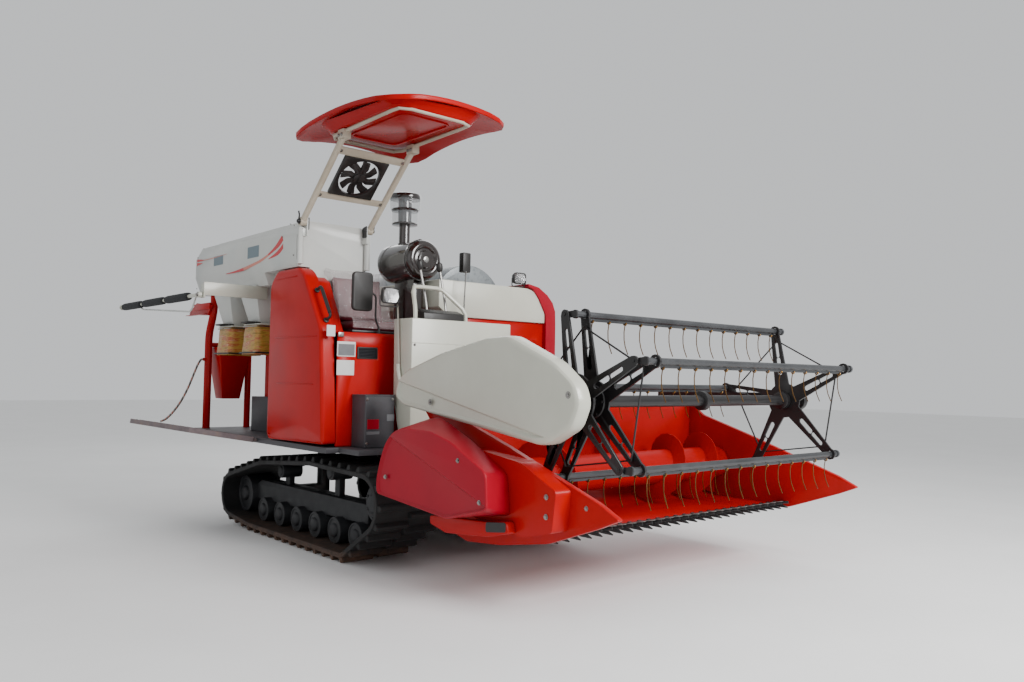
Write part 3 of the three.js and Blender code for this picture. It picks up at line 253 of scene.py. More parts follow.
def plate(axis, points, a, b, radius=0):
    """An outline drawn square to the axis, from a to b along it."""
    outline = rounded(points, radius)
    bpy.ops.mesh.primitive_circle_add(vertices=len(outline), radius=1, fill_type="NGON")
    obj = bpy.context.object
    for vertex, (u, v) in zip(obj.data.vertices, outline):
        vertex.co = along(axis, a, u, v)
    edit(obj)
    bpy.ops.mesh.select_all(action="SELECT")
    step = along(axis, b, 0, 0) - along(axis, a, 0, 0)
    bpy.ops.mesh.extrude_region_move(TRANSFORM_OT_translate={"value": step})
    leave()
    return outward(obj)


def turned(centre, direction, profile, sides=24):
    """A lathe piece on an axis through the centre; the profile is (distance along it, radius) pairs."""
    bpy.ops.mesh.primitive_circle_add(vertices=sides, radius=profile[0][1] / 1000, fill_type="NGON",
                                      location=(0, 0, profile[0][0] / 1000))
    obj = settle(bpy.context.object)
    edit(obj)
    bpy.ops.mesh.select_all(action="SELECT")
    for (z0, r0), (z1, r1) in zip(profile, profile[1:]):
        bpy.ops.mesh.extrude_region_move(TRANSFORM_OT_translate={"value": (0, 0, (z1 - z0) / 1000)})
        if abs(r1 - r0) > 1e-6:
            bpy.ops.transform.resize(value=(r1 / r0, r1 / r0, 1), center_override=(0, 0, z1 / 1000))
    leave()
    aim = Vector((0, 0, 1)).rotation_difference(Vector(direction).normalized())
    obj.data.transform(Matrix.Translation(at(*centre)) @ aim.to_matrix().to_4x4())
    return outward(obj)


def tube(points, radius, bend=0, sides=12, closed=False):
    """A round bar or pipe through the points, its corners bent round."""
    path = []
    for i, p in enumerate(points):
        corner = Vector(p)
        if not bend or (not closed and i in (0, len(points) - 1)):
            path.append(corner)
            continue
        before, after = Vector(points[i - 1]), Vector(points[(i + 1) % len(points)])
        reach = min(bend, (before - corner).length * 0.48, (after - corner).length * 0.48)
        a, b = corner + (before - corner).normalized() * reach, corner + (after - corner).normalized() * reach
        path += [a * (1 - t) ** 2 + corner * 2 * t * (1 - t) + b * t * t for t in (0, 0.25, 0.5, 0.75, 1)]
    curve = bpy.data.curves.new("pipe", "CURVE")
    curve.dimensions, curve.bevel_depth, curve.use_fill_caps = "3D", radius / 1000, True
    curve.bevel_resolution = max(0, sides // 4 - 1)
    line = curve.splines.new("POLY")
    line.points.add(len(path) - 1)
    line.use_cyclic_u = closed
    for point, p in zip(line.points, path):
        point.co = (*at(*p), 1)
    obj = bpy.data.objects.new("pipe", curve)
    bpy.context.scene.collection.objects.link(obj)
    only(obj)
    bpy.ops.object.convert(target="MESH")
    return bpy.context.object


def bolt(centre, direction, radius=8):
    """A hexagon head on its washer."""
    r = radius
    washer = turned(centre, direction, [(-1, r * 1.5), (1.5, r * 1.5), (1.6, r * 1.4)], 16)
    head = turned(centre, direction, [(1, r), (r * 0.8, r), (r, r * 0.8)], 6)
    return joined(washer, head)


def carried(place, turn=Matrix.Identity(4)):
    """Takes a shape that is drawn round the drawing's origin to a place, turned about that origin."""
    return Matrix.Translation(at(*place)) @ turn @ Matrix.Translation(-at(0, 0, 0))


def skin_of(node, edge, segments=2, merge=0.6, angle=30):
    """A copy of a CAD node's mesh with its loose triangles merged and its edges rounded."""
    obj = bpy.data.objects.new(node + "_skin", NODES[node].data.copy())
    bpy.context.scene.collection.objects.link(obj)
    edit(obj)
    bpy.ops.mesh.select_all(action="SELECT")
    bpy.ops.mesh.remove_doubles(threshold=0.00002)
    bpy.ops.mesh.dissolve_limited(angle_limit=math.radians(merge))
    leave()
    return bevelled(obj, edge, segments, angle) if edge else obj


def ready(obj, name, body, material, smooth=35, stands_for=()):
    """Names a finished piece, paints it, smooths it and lets it ride on its body."""
    obj.name = obj.data.name = name
    obj.data.materials.clear()
    obj.data.materials.append(material)
    only(obj)
    bpy.ops.object.shade_smooth_by_angle(angle=math.radians(smooth))
    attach(obj, body)
    if stands_for:
        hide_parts(*stands_for)
    return obj


# ------------------------------------------------------------------ finishes


def linear(code):
    """An sRGB hex colour as the linear colour that a shader takes."""
    parts = [int(code[i:i + 2], 16) / 255 for i in (1, 3, 5)]
    return [p / 12.92 if p <= 0.04045 else ((p + 0.055) / 1.055) ** 2.4 for p in parts] + [1.0]


def add(tree, kind, links=None, stops=None, **settings):
    """Adds a node; links gives its sockets values or the sockets that feed them."""
    node = tree.nodes.new("ShaderNode" + kind)
    for name, value in settings.items():
        setattr(node, name, value)
    for socket, value in (links or {}).items():
        if isinstance(value, bpy.types.NodeSocket):
            tree.links.new(value, node.inputs[socket])
        else:
            node.inputs[socket].default_value = value
    if stops:
        elements = node.color_ramp.elements
        for place, code in stops[2:]:
            elements.new(place)
        for element, (place, code) in zip(elements, sorted(stops)):
            element.position, element.color = place, linear(code)
    return node


def finish(name, tones, rough, patch=250, grain=None, bump=0.0, dust=None, dust_top=0.0, **shader):
    """A surface whose colour drifts over tones in patches of a size in mm, with a fine grain in mm that shows
    as bump, and dust of a colour that fades out up to a height in mm."""
    material = bpy.data.materials.new(name)
    material.use_nodes = True
    tree = material.node_tree
    tree.nodes.clear()
    surface = add(tree, "BsdfPrincipled", shader)
    add(tree, "OutputMaterial", {"Surface": surface.outputs[0]})
    place = add(tree, "TexCoord").outputs["Object"]
    drift = add(tree, "TexNoise", {"Vector": place, "Scale": 1000 / patch, "Detail": 5.0, "Roughness": 0.6})
    steps = [(0.3 + 0.4 * i / max(1, len(tones) - 1), tone) for i, tone in enumerate(tones)]
    colour = add(tree, "ValToRGB", {"Fac": drift.outputs[0]}, stops=steps).outputs[0]
    if dust:
        height = add(tree, "SeparateXYZ", {"Vector": place}).outputs["Z"]
        fade = add(tree, "MapRange", {"Value": height, "From Min": 0.0, "From Max": dust_top / 1000,
                                      "To Min": 1.0,
                                      "To Max": 0.0}).outputs[0]
        specks = add(tree, "TexNoise", {"Vector": place, "Scale": 1000 / 60, "Detail": 8.0,
                                        "Roughness": 0.7})
        amount = add(tree, "Math", {0: fade, 1: specks.outputs[0]}, operation="MULTIPLY").outputs[0]
        sharper = add(tree, "MapRange", {"Value": amount, "From Min": 0.18, "From Max": 0.5}).outputs[0]
        mixed = add(tree, "Mix", {0: sharper, 6: colour, 7: linear(dust)}, data_type="RGBA")
        colour = mixed.outputs[2]
    tree.links.new(colour, surface.inputs["Base Color"])
    wear = add(tree, "MapRange", {"Value": drift.outputs[0], "From Min": 0.3, "From Max": 0.7,
                                  "To Min": rough[0],
                                  "To Max": rough[1]}).outputs[0]
    tree.links.new(wear, surface.inputs["Roughness"])
    if grain:
        fine = add(tree, "TexNoise", {"Vector": place, "Scale": 1000 / grain, "Detail": 3.0})
        lift = add(tree, "Bump", {"Height": fine.outputs[0], "Strength": bump, "Distance": grain / 4000})
        tree.links.new(lift.outputs[0], surface.inputs["Normal"])
    return material


# enamelled sheet steel, sprayed: a full red with soft reflections, a faint orange peel and dust low down
RED = finish("red_enamel", ["#9c0102", "#ab0203", "#a30203"], (0.3, 0.4), 400, 9, 0.04, "#5b3020", 420,
             **{"Coat Weight": 0.05, "Coat Roughness": 0.1, "Specular IOR Level": 0.16})
# red gelcoat on the moulded roof: a little glossier than the enamel, with a slow ripple
ROOF_RED = finish("red_gelcoat", ["#980204", "#a60304"], (0.2, 0.28), 500, 30, 0.02,
                  **{"Specular IOR Level": 0.12})
# moulded ABS, coloured through: a cooler crimson than the enamel, with a soft gloss
CRIMSON = finish("crimson_abs", ["#930620", "#9e0822"], (0.32, 0.4), 300, 5, 0.03, "#5b3030", 300,
                 **{"Coat Weight": 0.06, "Coat Roughness": 0.15, "Specular IOR Level": 0.18})
# off-white enamel on sheet steel: pale grey-white with a slight gloss
WHITE = finish("white_enamel", ["#b4b8b5", "#c0c1bc", "#babcb7"], (0.3, 0.42), 500, 9, 0.04,
               **{"Coat Weight": 0.25, "Coat Roughness": 0.2})
# warm cream enamel on guards, posts and rails, a little yellower than the tank
CREAM = finish("cream_enamel", ["#b9b9ab", "#c3c3b6"], (0.3, 0.4), 350, 8, 0.05,
               **{"Coat Weight": 0.3, "Coat Roughness": 0.18})
# baked cream paint on bent tube, chalked by weather to a warm beige
BEIGE = finish("beige_tube_paint", ["#a79b88", "#b7ad9c"], (0.4, 0.5), 200, 5, 0.06)
# satin black paint on brackets and arms
BLACK = finish("black_paint", ["#141314", "#1c1a1b"], (0.32, 0.45), 150, 4, 0.08, "#5b4a3c", 250)
# glossy black stove enamel on the air cleaner: brown-black with strong highlights
GLOSS_BLACK = finish("black_stove_enamel", ["#1a1412", "#241b17"], (0.14, 0.22), 180, 12, 0.05,
                     **{"Coat Weight": 0.8, "Coat Roughness": 0.06})
# dark grey paint with small scratches on deck and step box
GREY = finish("grey_paint", ["#343337", "#403e42"], (0.42, 0.58), 120, 6, 0.15, "#6a5a4c", 700)
# rough dark castings of rollers and final drives, with dried soil in the corners
IRON = finish("painted_cast_iron", ["#131417", "#1c1d20"], (0.5, 0.68), 80, 5, 0.35, "#33291f", 130)
# moulded rubber, black where it flexes and brown with dried soil low down
RUBBER = finish("track_rubber", ["#0c0c0d", "#151414"], (0.62, 0.8), 90, 7, 0.4, "#5a4030", 150)
# hot-dip galvanised sheet: pale blue-grey metal with cloudy spangle
ZINC = finish("galvanised_sheet", ["#74787b", "#8d9193", "#7f8487"], (0.38, 0.52), 35, 20, 0.05,
              Metallic=0.75)
# plain turned steel with a thin film of oil
STEEL = finish("turned_steel", ["#8d8c8a", "#a09e9a"], (0.25, 0.38), 60, 3, 0.08, Metallic=1.0)
# hardened spring wire with a brassy temper colour
TINE = finish("tempered_spring_wire", ["#5e4326", "#8a6636"], (0.28, 0.4), 60, 3, 0.05, Metallic=0.9)
# grey-painted slat tube, pale on top where the sky falls on it
SLAT = finish("slat_grey_paint", ["#3a3b3d", "#4a4b4d"], (0.28, 0.42), 150, 5, 0.08, Metallic=0.5)
# weathered platform plate: brown-grey paint worn through to rust on the edges
PLANK = finish("worn_platform_paint", ["#55494b", "#6d6062", "#7c6a62"], (0.55, 0.75), 70, 14, 0.5)
# soft black foam sleeves with a dull skin
FOAM = finish("black_foam", ["#17181b", "#202226"], (0.75, 0.88), 60, 4, 0.5)
# black moulded plastic of mirror shell, knobs and lamp bodies
PLASTIC = finish("black_moulded_plastic", ["#191716", "#221f1d"], (0.4, 0.5), 90, 2.5, 0.15)
# maroon coated fabric with a soft sheen
VINYL = finish("maroon_vinyl", ["#4a0f1a", "#5e1623"], (0.38, 0.5), 120, 3, 0.25)
# flat plastic plates, left blank: grey and white ones, and the tank's slate blue panels
PLATE_GREY = finish("grey_blank_plate", ["#5e5f62", "#6a6b6e"], (0.35, 0.45), 80)
PLATE_WHITE = finish("white_blank_plate", ["#c9c9c7", "#d2d2d0"], (0.35, 0.45), 80)
PLATE_BLUE = finish("slate_blue_film", ["#5a6d75", "#667780"], (0.35, 0.45), 120)
# printed red vinyl stripe on the tank
STRIPE = finish("red_vinyl_stripe", ["#b80f1c", "#c21522"], (0.3, 0.38), 200)
# paler, sun-faded end of the same stripe
FADED = finish("faded_vinyl_stripe", ["#c4705f", "#cc8270"], (0.35, 0.45), 120)
# deep mesh behind the vent: its near-black colour is partly the mesh's own dark paint and partly painted shade
# of the deep recess behind it
MESH = finish("vent_mesh_and_painted_shade", ["#1d1e24", "#26272d"], (0.6, 0.75), 8, 6, 0.8)


def clear(name, tint, rough, crumple=0.0, crease=40, alpha=1.0, weight=1.0):
    """See-through plastic or glass: light passes, bent a little by creases of a size in mm."""
    material = bpy.data.materials.new(name)
    material.use_nodes = True
    tree = material.node_tree
    tree.nodes.clear()
    surface = add(tree, "BsdfPrincipled", {"Base Color": linear(tint), "Roughness": rough, "IOR": 1.45,
                                           "Alpha": alpha,
                                           "Transmission Weight": weight})
    add(tree, "OutputMaterial", {"Surface": surface.outputs[0]})
    if crumple:
        place = add(tree, "TexCoord").outputs["Object"]
        warp = add(tree, "TexNoise", {"Vector": place, "Scale": 1000 / crease / 2, "Detail": 2.0})
        fold = add(tree, "TexVoronoi", {"Vector": warp.outputs["Color"], "Scale": 9.0},
                   feature="DISTANCE_TO_EDGE")
        lift = add(tree, "Bump", {"Height": fold.outputs[0], "Strength": crumple, "Distance": 0.02})
        tree.links.new(lift.outputs[0], surface.inputs["Normal"])
    return material


# blown polythene film, crumpled, with white glints along its folds
FILM = clear("polythene_film", "#cfc6c6", 0.1, crumple=0.9, crease=90, alpha=0.24, weight=0.0)
# pressed lamp glass over a bright bowl
LAMP_GLASS = clear("lamp_glass", "#ffffff", 0.04, crumple=0.25, crease=12)
# moulded clear cup of the air cleaner, thin walled
CUP = clear("clear_cup_plastic", "#b9bfc2", 0.05, alpha=0.2, weight=0.0)
# chromed reflector bowls of the lamps, and the mirror's glass
CHROME = finish("chromed_bowl", ["#d8d8d8", "#efefef"], (0.06, 0.12), 60, Metallic=1.0)


def sleeve_plastic():
    """Woven poly sleeve, amber and see-through where it is thin, with darker gathered bands round it."""
    material = bpy.data.materials.new("amber_sleeve")
    material.use_nodes = True
    tree = material.node_tree
    tree.nodes.clear()
    place = add(tree, "TexCoord").outputs["Object"]
    bands = add(tree, "Mapping", {"Vector": place, "Scale": (3.0, 3.0, 22.0)}).outputs[0]
    streak = add(tree, "TexNoise", {"Vector": bands, "Scale": 2.2, "Detail": 6.0, "Roughness": 0.65})
    colour = add(tree, "ValToRGB", {"Fac": streak.outputs[0]},
                 stops=[(0.3, "#7b5a1c"), (0.7, "#e8d9a0"), (0.42, "#a98334"), (0.5, "#c9a04a"),
                        (0.58, "#b5442a")])
    lift = add(tree, "Bump", {"Height": streak.outputs[0], "Strength": 0.5, "Distance": 0.01})
    surface = add(tree, "BsdfPrincipled", {"Base Color": colour.outputs[0], "Roughness": 0.28,
                                           "Normal": lift.outputs[0],
                                           "Transmission Weight": 0.15, "Alpha": 0.9})
    add(tree, "OutputMaterial", {"Surface": surface.outputs[0]})
    return material


AMBER = sleeve_plastic()


def sling_wrap():
    """Chain in a wound strip of grey and red cloth, its turns showing as slanting bands."""
    material = bpy.data.materials.new("wound_cloth_strip")
    material.use_nodes = True
    tree = material.node_tree
    tree.nodes.clear()
    place = add(tree, "TexCoord").outputs["Object"]
    turns = add(tree, "TexWave", {"Vector": place, "Scale": 9.0, "Distortion": 6.0, "Detail": 2.0})
    colour = add(tree, "ValToRGB", {"Fac": turns.outputs[0]},
                 stops=[(0.15, "#5d5552"), (0.9, "#a4695c"), (0.5, "#8a827c"), (0.7, "#b9aea4")])
    lift = add(tree, "Bump", {"Height": turns.outputs[0], "Strength": 0.8, "Distance": 0.004})
    surface = add(tree, "BsdfPrincipled", {"Base Color": colour.outputs[0], "Roughness": 0.7,
                                           "Normal": lift.outputs[0]})
    add(tree, "OutputMaterial", {"Surface": surface.outputs[0]})
    return material


WOUND = sling_wrap()

# ------------------------------------------------------------------ the hold-up chain

CHAIN_WIDE = 15.6
CHAIN = [(-848, 1440, 1205), (-862, 1438, 1200), (-890, 1425, 1160), (-930, 1395, 1085), (-985, 1350, 985),
         (-1050, 1300, 890), (-1120, 1250, 815), (-1185, 1205, 765), (-1235, 1170, 748)]


def smooth_path(points, steps):
    """A smooth curve through the points."""
    out = []
    last = len(points) - 1
    for i in range(last):
        p0, p1, p2, p3 = (Vector(points[min(max(k, 0), last)]) for k in (i - 1, i, i + 1, i + 2))
        for k in range(steps):
            t = k / steps
            out.append(0.5 * (2 * p1 + (p2 - p0) * t + (2 * p0 - 5 * p1 + 4 * p2 - p3) * t * t
                              + (3 * p1 - p0 - 3 * p2 + p3) * t ** 3))
    return out + [Vector(points[-1])]


def hold_chain():
    path = smooth_path(CHAIN, 3)
    chain = tube(path, CHAIN_WIDE / 2, 0, 16)
    chain.name = chain.data.name = "hold_up_chain"
    chain.data.materials.append(WOUND)
    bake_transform(chain)
    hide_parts("hold_chain")


hold_chain()

# ------------------------------------------------------------------ CAD pieces that keep their shape

FINISHED = {  # node: finish, edge radius in mm
    "track_frame_right": (IRON, 5), "track_frame_left": (IRON, 5), "drive_axle": (IRON, 5),
    "chassis_frame": (BLACK, 3),
    "deck": (GREY, 3), "engine": (IRON, 12), "engine_housing": (RED, 10), "radiator_box": (RED, 10),
    "console": (CREAM, 8), "grab_rail": (CREAM, 0), "thresher_body": (RED, 5),
    "elevator_boot": (GREY, 6), "grain_elevator": (RED, 3), "drum_cover": (ZINC, 2),
    "grain_tank": (WHITE, 6),
    "tank_frame": (RED, 2), "rear_hopper": (RED, 6), "rail_arm": (CREAM, 2), "bagging_platform": (PLANK, 3),
    "canopy_frame": (BEIGE, 2), "fan_shroud": (PLASTIC, 2), "feeder_house": (RED, 5),
    "header_trough": (RED, 2), "side_sheet_right": (RED, 6), "side_sheet_left": (RED, 5),
    "cutter_bar": (BLACK, 1),
    "auger": (RED, 1), "reel_arm_right": (BLACK, 4), "reel_arm_left": (BLACK, 4),
    "reel_lift_barrel": (BLACK, 1),
    "reel_lift_rod": (STEEL, 1), "lift_barrel": (BLACK, 1), "lift_rod": (STEEL, 1),
}


def carried_over():
    for node, (material, edge) in FINISHED.items():
        obj = skin_of(node, edge)
        ready(obj, node + "_skin", NODES[node]["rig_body"], material, 40, [node])


carried_over()

# ------------------------------------------------------------------ tracks

TRACK_X, BELT_HALF, BELT_STRIPS, BELT_OUT, BELT_WALL, LUGS = 575, 224, 4, 30, 29, 88
# each wheel is (y, z, radius)
SPROCKET, IDLER = (-870, 365, 150), (955, 222, 130)
CARRIERS = [(-250, 482, 50), (450, 428, 50)]
ROLLERS = [(-640 + 254 * k, 142.3, 82) for k in range(6)]
WHEELS = [SPROCKET, IDLER, *CARRIERS, ROLLERS[0], ROLLERS[-1]]


def loop_round(offset):
    """The tight loop round the track's wheels, grown by an offset, as (y, z) points."""
    points = [(y + (r + offset) * math.cos(math.radians(a)), z + (r + offset) * math.sin(math.radians(a)))
              for y, z, r in WHEELS for a in range(0, 360, 6)]
    points.sort()

    def half(items):
        chain = []
        for p in items:
            while len(chain) > 1:
                (ay, az), (by, bz) = chain[-2], chain[-1]
                if (by - ay) * (p[1] - az) - (bz - az) * (p[0] - ay) > 0.5:
                    break
                chain.pop()
            chain.append(p)
        return chain[:-1]

    return half(points) + half(points[::-1])


def evenly(loop, count):
    """Points, directions and outward normals at equal steps round a loop that runs anticlockwise."""
    ends = list(zip(loop, loop[1:] + loop[:1]))
    lengths = [math.dist(a, b) for a, b in ends]
    step, out, walked, i = sum(lengths) / count, [], 0.0, 0
    for k in range(count):
        while walked + lengths[i] < k * step:
            walked += lengths[i]
            i += 1
        (ay, az), (by, bz) = ends[i]
        t = (k * step - walked) / lengths[i]
        run = Vector((by - ay, bz - az)).normalized()
        out.append(((ay + (by - ay) * t, az + (bz - az) * t), run, Vector((run.y, -run.x))))
    return out


def track(side, node):
    """A rubber belt with two rows of staggered lugs on its outside."""
    middle = side * TRACK_X
    loop = loop_round(BELT_OUT)
    bpy.ops.mesh.primitive_circle_add(vertices=len(loop), radius=1, fill_type="NOTHING")
    belt = bpy.context.object
    for vertex, (y, z) in zip(belt.data.vertices, loop):
        vertex.co = at(middle - BELT_HALF, y, z)
    edit(belt, "EDGE")
    bpy.ops.mesh.select_all(action="SELECT")
    strip = 2 * BELT_HALF / BELT_STRIPS / 1000
    for _ in range(BELT_STRIPS):
        bpy.ops.mesh.extrude_edges_move(TRANSFORM_OT_translate={"value": (strip, 0, 0)})
    leave()
    outward(belt)
    walled(belt, BELT_WALL, -1)
    bevelled(belt, 4, 1, 60)
    lug = block(-112, 112, -21, 21, -2, 29.5)
    edit(lug)
    pick(lug, "FACE", lambda f: f.normal.z > 0.9)
    bpy.ops.transform.resize(value=(0.95, 0.55, 1))
    leave()
    bevelled(lug, 3, 1)
    lugs = []
    for k, ((y, z), run, out) in enumerate(evenly(loop, LUGS)):
        x = middle + (106 if k % 2 else -106)
        turn = Matrix(((1, 0, 0), (0, run.x, out.x), (0, run.y, out.y))).to_4x4()
        lugs.append(copy_of(lug, carried((x, y, z), turn)))
    bpy.data.objects.remove(lug)
    whole = outward(joined(belt, *lugs))
    ready(whole, node + "_belt", "root", RUBBER, 30, [node])


track(-1, "track_right")
track(1, "track_left")


def wheel_caps():
    """Hub covers and rims on the rollers, carriers, idler and sprocket, on their outer faces."""
    for side, tag in ((-1, "right"), (1, "left")):
        out = (side, 0, 0)
        parts = []
        for y, z, _ in ROLLERS:
            parts.append(turned((side * 685, y, z), out,
                                [(-4, 80), (2, 80), (3, 70), (-2, 66), (-2, 46), (8, 42), (14, 34),
                                 (16, 14)], 24))
        for y, z, _ in CARRIERS:
            parts.append(turned((side * 645, y, z), out, [(-4, 48), (2, 48), (3, 36), (10, 30), (12, 10)],
                                20))
        y, z, _ = IDLER
        parts.append(turned((side * 675, y, z), out,
                            [(-6, 128), (4, 128), (5, 108), (-3, 100), (-3, 56), (14, 50), (22, 40),
                             (24, 16)], 36))
        y, z, _ = SPROCKET
        parts.append(turned((side * 685, y, z), out,
                            [(-8, 112), (2, 112), (4, 80), (18, 70), (24, 52), (30, 48), (32, 20)], 32))
        for k in range(8):
            a = math.radians(45 * k + 20)
            parts.append(bolt((side * 687, y + 96 * math.cos(a), z + 96 * math.sin(a)), out, 8))
        ready(joined(*parts), "wheel_caps_" + tag, "root", IRON)


wheel_caps()

# ------------------------------------------------------------------ guards and doors


def sunk_below(pan, x, near, far, depth):
    """Sinks the part of a cover's outer face, at x, below the line from near to far; the depth is in mm."""
    start, end = at(x, *near), at(x, *far)
    across = (end - start).cross(Vector((1, 0, 0))).normalized()
    face = at(x + 1, 0, 0).x
    edit(pan)
    pick(pan, "FACE", lambda f: f.normal.x < -0.99 and f.calc_center_median().x < face)
    bpy.ops.mesh.bisect(plane_co=start, plane_no=across)
    leave()
    edit(pan)
    pick(pan, "FACE", lambda f: f.normal.x < -0.99 and f.calc_center_median().x < face
         and (f.calc_center_median() - start).dot(across) * across.z < 0)
    bpy.ops.mesh.inset(thickness=0.012, depth=0)
    bpy.ops.transform.translate(value=(depth / 1000, 0, 0))
    leave()


def without_back(pan, x):
    """Takes away the flat back of a cover or door, which lies inside x."""
    back = at(x, 0, 0).x
    edit(pan)
    pick(pan, "FACE", lambda f: f.normal.x > 0.9 and f.calc_center_median().x > back)
    bpy.ops.mesh.delete(type="FACE")
    leave()


def reel_drive_guard():
    """The cream moulded cover over the reel's belt: a crowned pan with a long crease."""
    outline = [(-948, 985), (-975, 1078), (-1065, 1136), (-1400, 1234), (-1780, 1304), (-1960, 1310),
               (-2290, 1178),
               (-2425, 1076), (-2455, 990), (-2405, 878), (-2250, 796), (-2180, 788), (-1022, 937)]
    rim = rounded(outline, 38, 5)
    middle = Vector((-1700, 1030))

    def inwards(p, d):
        v = p - middle
        return p - Vector((v.x * d / 780, v.y * d / 230))

    rings = [[(x, *inwards(p, d)) for p in rim] for x,
             d in ((-640, 30), (-637, 17), (-629, 6), (-612, 0), (-559, 0))]
    pan = lofted(rings)
    sunk_below(pan, -640, (-2150, 848), (-1150, 1048), 13)
    without_back(pan, -562)
    walled(pan, 4, -1)
    bevelled(pan, 1.5, 2, 25)
    pegs = [turned((-632, y, 1020), (1, 0, 0), [(0, 11), (126, 11), (126.5, 10)], 16)
            for y in (-2110, -1560)]
    whole = joined(pan, *pegs)
    ready(whole, "reel_drive_cover", "reel_arms", CREAM, 50, ["reel_drive_guard"])
    fixings = ((-1316, 963), (-2385, 1029))
    bolts = [bolt((-640, y, z), (-1, 0, 0), 7) for y, z in fixings]
    cups = [turned((-639, y, z), (-1, 0, 0), [(0, 17), (1.5, 17), (1.8, 13), (0.4, 11)], 20) for y,
            z in fixings]
    ready(joined(*bolts, *cups), "reel_drive_cover_bolts", "reel_arms", STEEL)


reel_drive_guard()

# the crimson cover's outer face and its open back, as (y, z) corners that match one by one
DRIVE_FACE = [(-1105, 462), (-1750, 408), (-2065, 488), (-2052, 660), (-1775, 785), (-1596, 828),
              (-1332, 828),
              (-1250, 800), (-1180, 735), (-1140, 655), (-1102, 540)]
DRIVE_RIM = [(-1112, 470), (-1745, 412), (-2012, 443), (-1985, 640), (-1700, 782), (-1540, 845),
             (-1420, 888),
             (-1290, 868), (-1195, 790), (-1142, 670), (-1100, 533)]


def header_drive_guard():
    """The crimson moulded cover of the header's belts: a flat face whose top and front edges fold inwards."""
    rings, middle = [], Vector((-1580, 630))
    for x, blend, inset in ((-840, 0.0, 9), (-837, 0.0, 3), (-831, 0.02, 0), (-740, 0.55, 0),
                            (-648.6, 1.0, 0)):
        ring = [Vector(a).lerp(Vector(b), blend) for a, b in zip(DRIVE_FACE, DRIVE_RIM)]
        smooth = [p + (middle - p).normalized() * inset for p in rounded(ring, 30, 3)]
        rings.append([(x, p.x, p.y) for p in smooth])
    pan = lofted(rings)
    sunk_below(pan, -840, (-1180, 800), (-1900, 560), 14)
    without_back(pan, -650)
    walled(pan, 5, -1)
    track_room = block(-813, -600, -1330, -1000, 300, 1000)
    pierced(pan, track_room, "EXACT")
    bevelled(pan, 2.5, 2, 20)
    ready(pan, "header_drive_cover", "header", CRIMSON, 50, ["header_drive_guard"])
    heads = [bolt((x, y, z), (-1, 0, 0), 8) for x, y,
             z in ((-840, -2010, 520), (-840, -1200, 560), (-840, -1840, 700))]
    ready(joined(*heads), "header_drive_cover_bolts", "header", STEEL)


header_drive_guard()


def side_door():
    """The tall red door: a pan with a sloping foot, three pressed creases and its black grab handle."""
    outline = [(160, 680), (160, 1690), (70, 1770), (-235, 1770), (-310, 1725), (-545, 1378), (-600, 690)]
    rim = rounded(outline, 36, 4)
    middle = Vector((-190, 1210))
    rings = []
    for x, d in ((-900, 22), (-897, 9), (-889, 2), (-878, 0), (-812, 0)):
        rings.append([(x, *(p - Vector(((p.x - middle.x) * d / 370, (p.y - middle.y) * d / 540))))
                      for p in rim])
    pan = lofted(rings)
    cuts = [((30, 676), (-304, 801)), ((-304, 801), (-620, 828))]
    for (y0, z0), (y1, z1) in cuts:
        a, b = at(-900, y0, z0), at(-900, y1, z1)
        edit(pan)
        pick(pan, "FACE", lambda f: f.normal.x < -0.99)
        bpy.ops.mesh.bisect(plane_co=a, plane_no=(b - a).cross(Vector((1, 0, 0))).normalized())
        leave()
    edit(pan)
    foot = at(0, 0, 706).z
    pick(pan, "VERT", lambda v: v.co.x < at(-895, 0, 0).x and v.co.z < foot)
    bpy.ops.transform.translate(value=(0.014, 0, 0))
    leave()
    without_back(pan, -815)
    walled(pan, 3, -1)
    ribs = []
    for y0, y1, z0, z1 in ((-500, 70, 1329, 1337), (-470, 20, 1040, 1047), (-225, 78, 1712, 1719)):
        ribs.append(bevelled(block(-904, -896, y0, y1, z0, z1), 2.5, 2))
    hinges = (760, 1240)
    knuckles = [turned((-804, 174, z), (0, 0, 1), [(0, 12), (1, 13), (59, 13), (60, 12)], 20)
                for z in hinges]
    leaves = [bevelled(block(-830, -812, 150, 172, z, z + 60), 2, 1) for z in hinges]
    whole = joined(pan, *ribs, *knuckles, *leaves)
    ready(whole, "side_door_panel", "side_door", RED, 40, ["side_door"])
    grab = tube([(-850, -384, 1613), (-850, -442, 1643), (-850, -575, 1452), (-850, -512, 1427)], 9, 22)
    grip = tube([(-850, -455, 1624), (-850, -562, 1471)], 11.5)
    feet = [turned((-850, y, z), d, [(0, 17), (5, 17), (9, 10)], 16)
            for y, z, d in ((-394, 1618, (0, -0.9, 0.45)), (-518, 1429, (0, -0.92, 0.38)))]
    ready(joined(grab, grip, *feet), "door_grab_handle", "side_door", PLASTIC)


side_door()


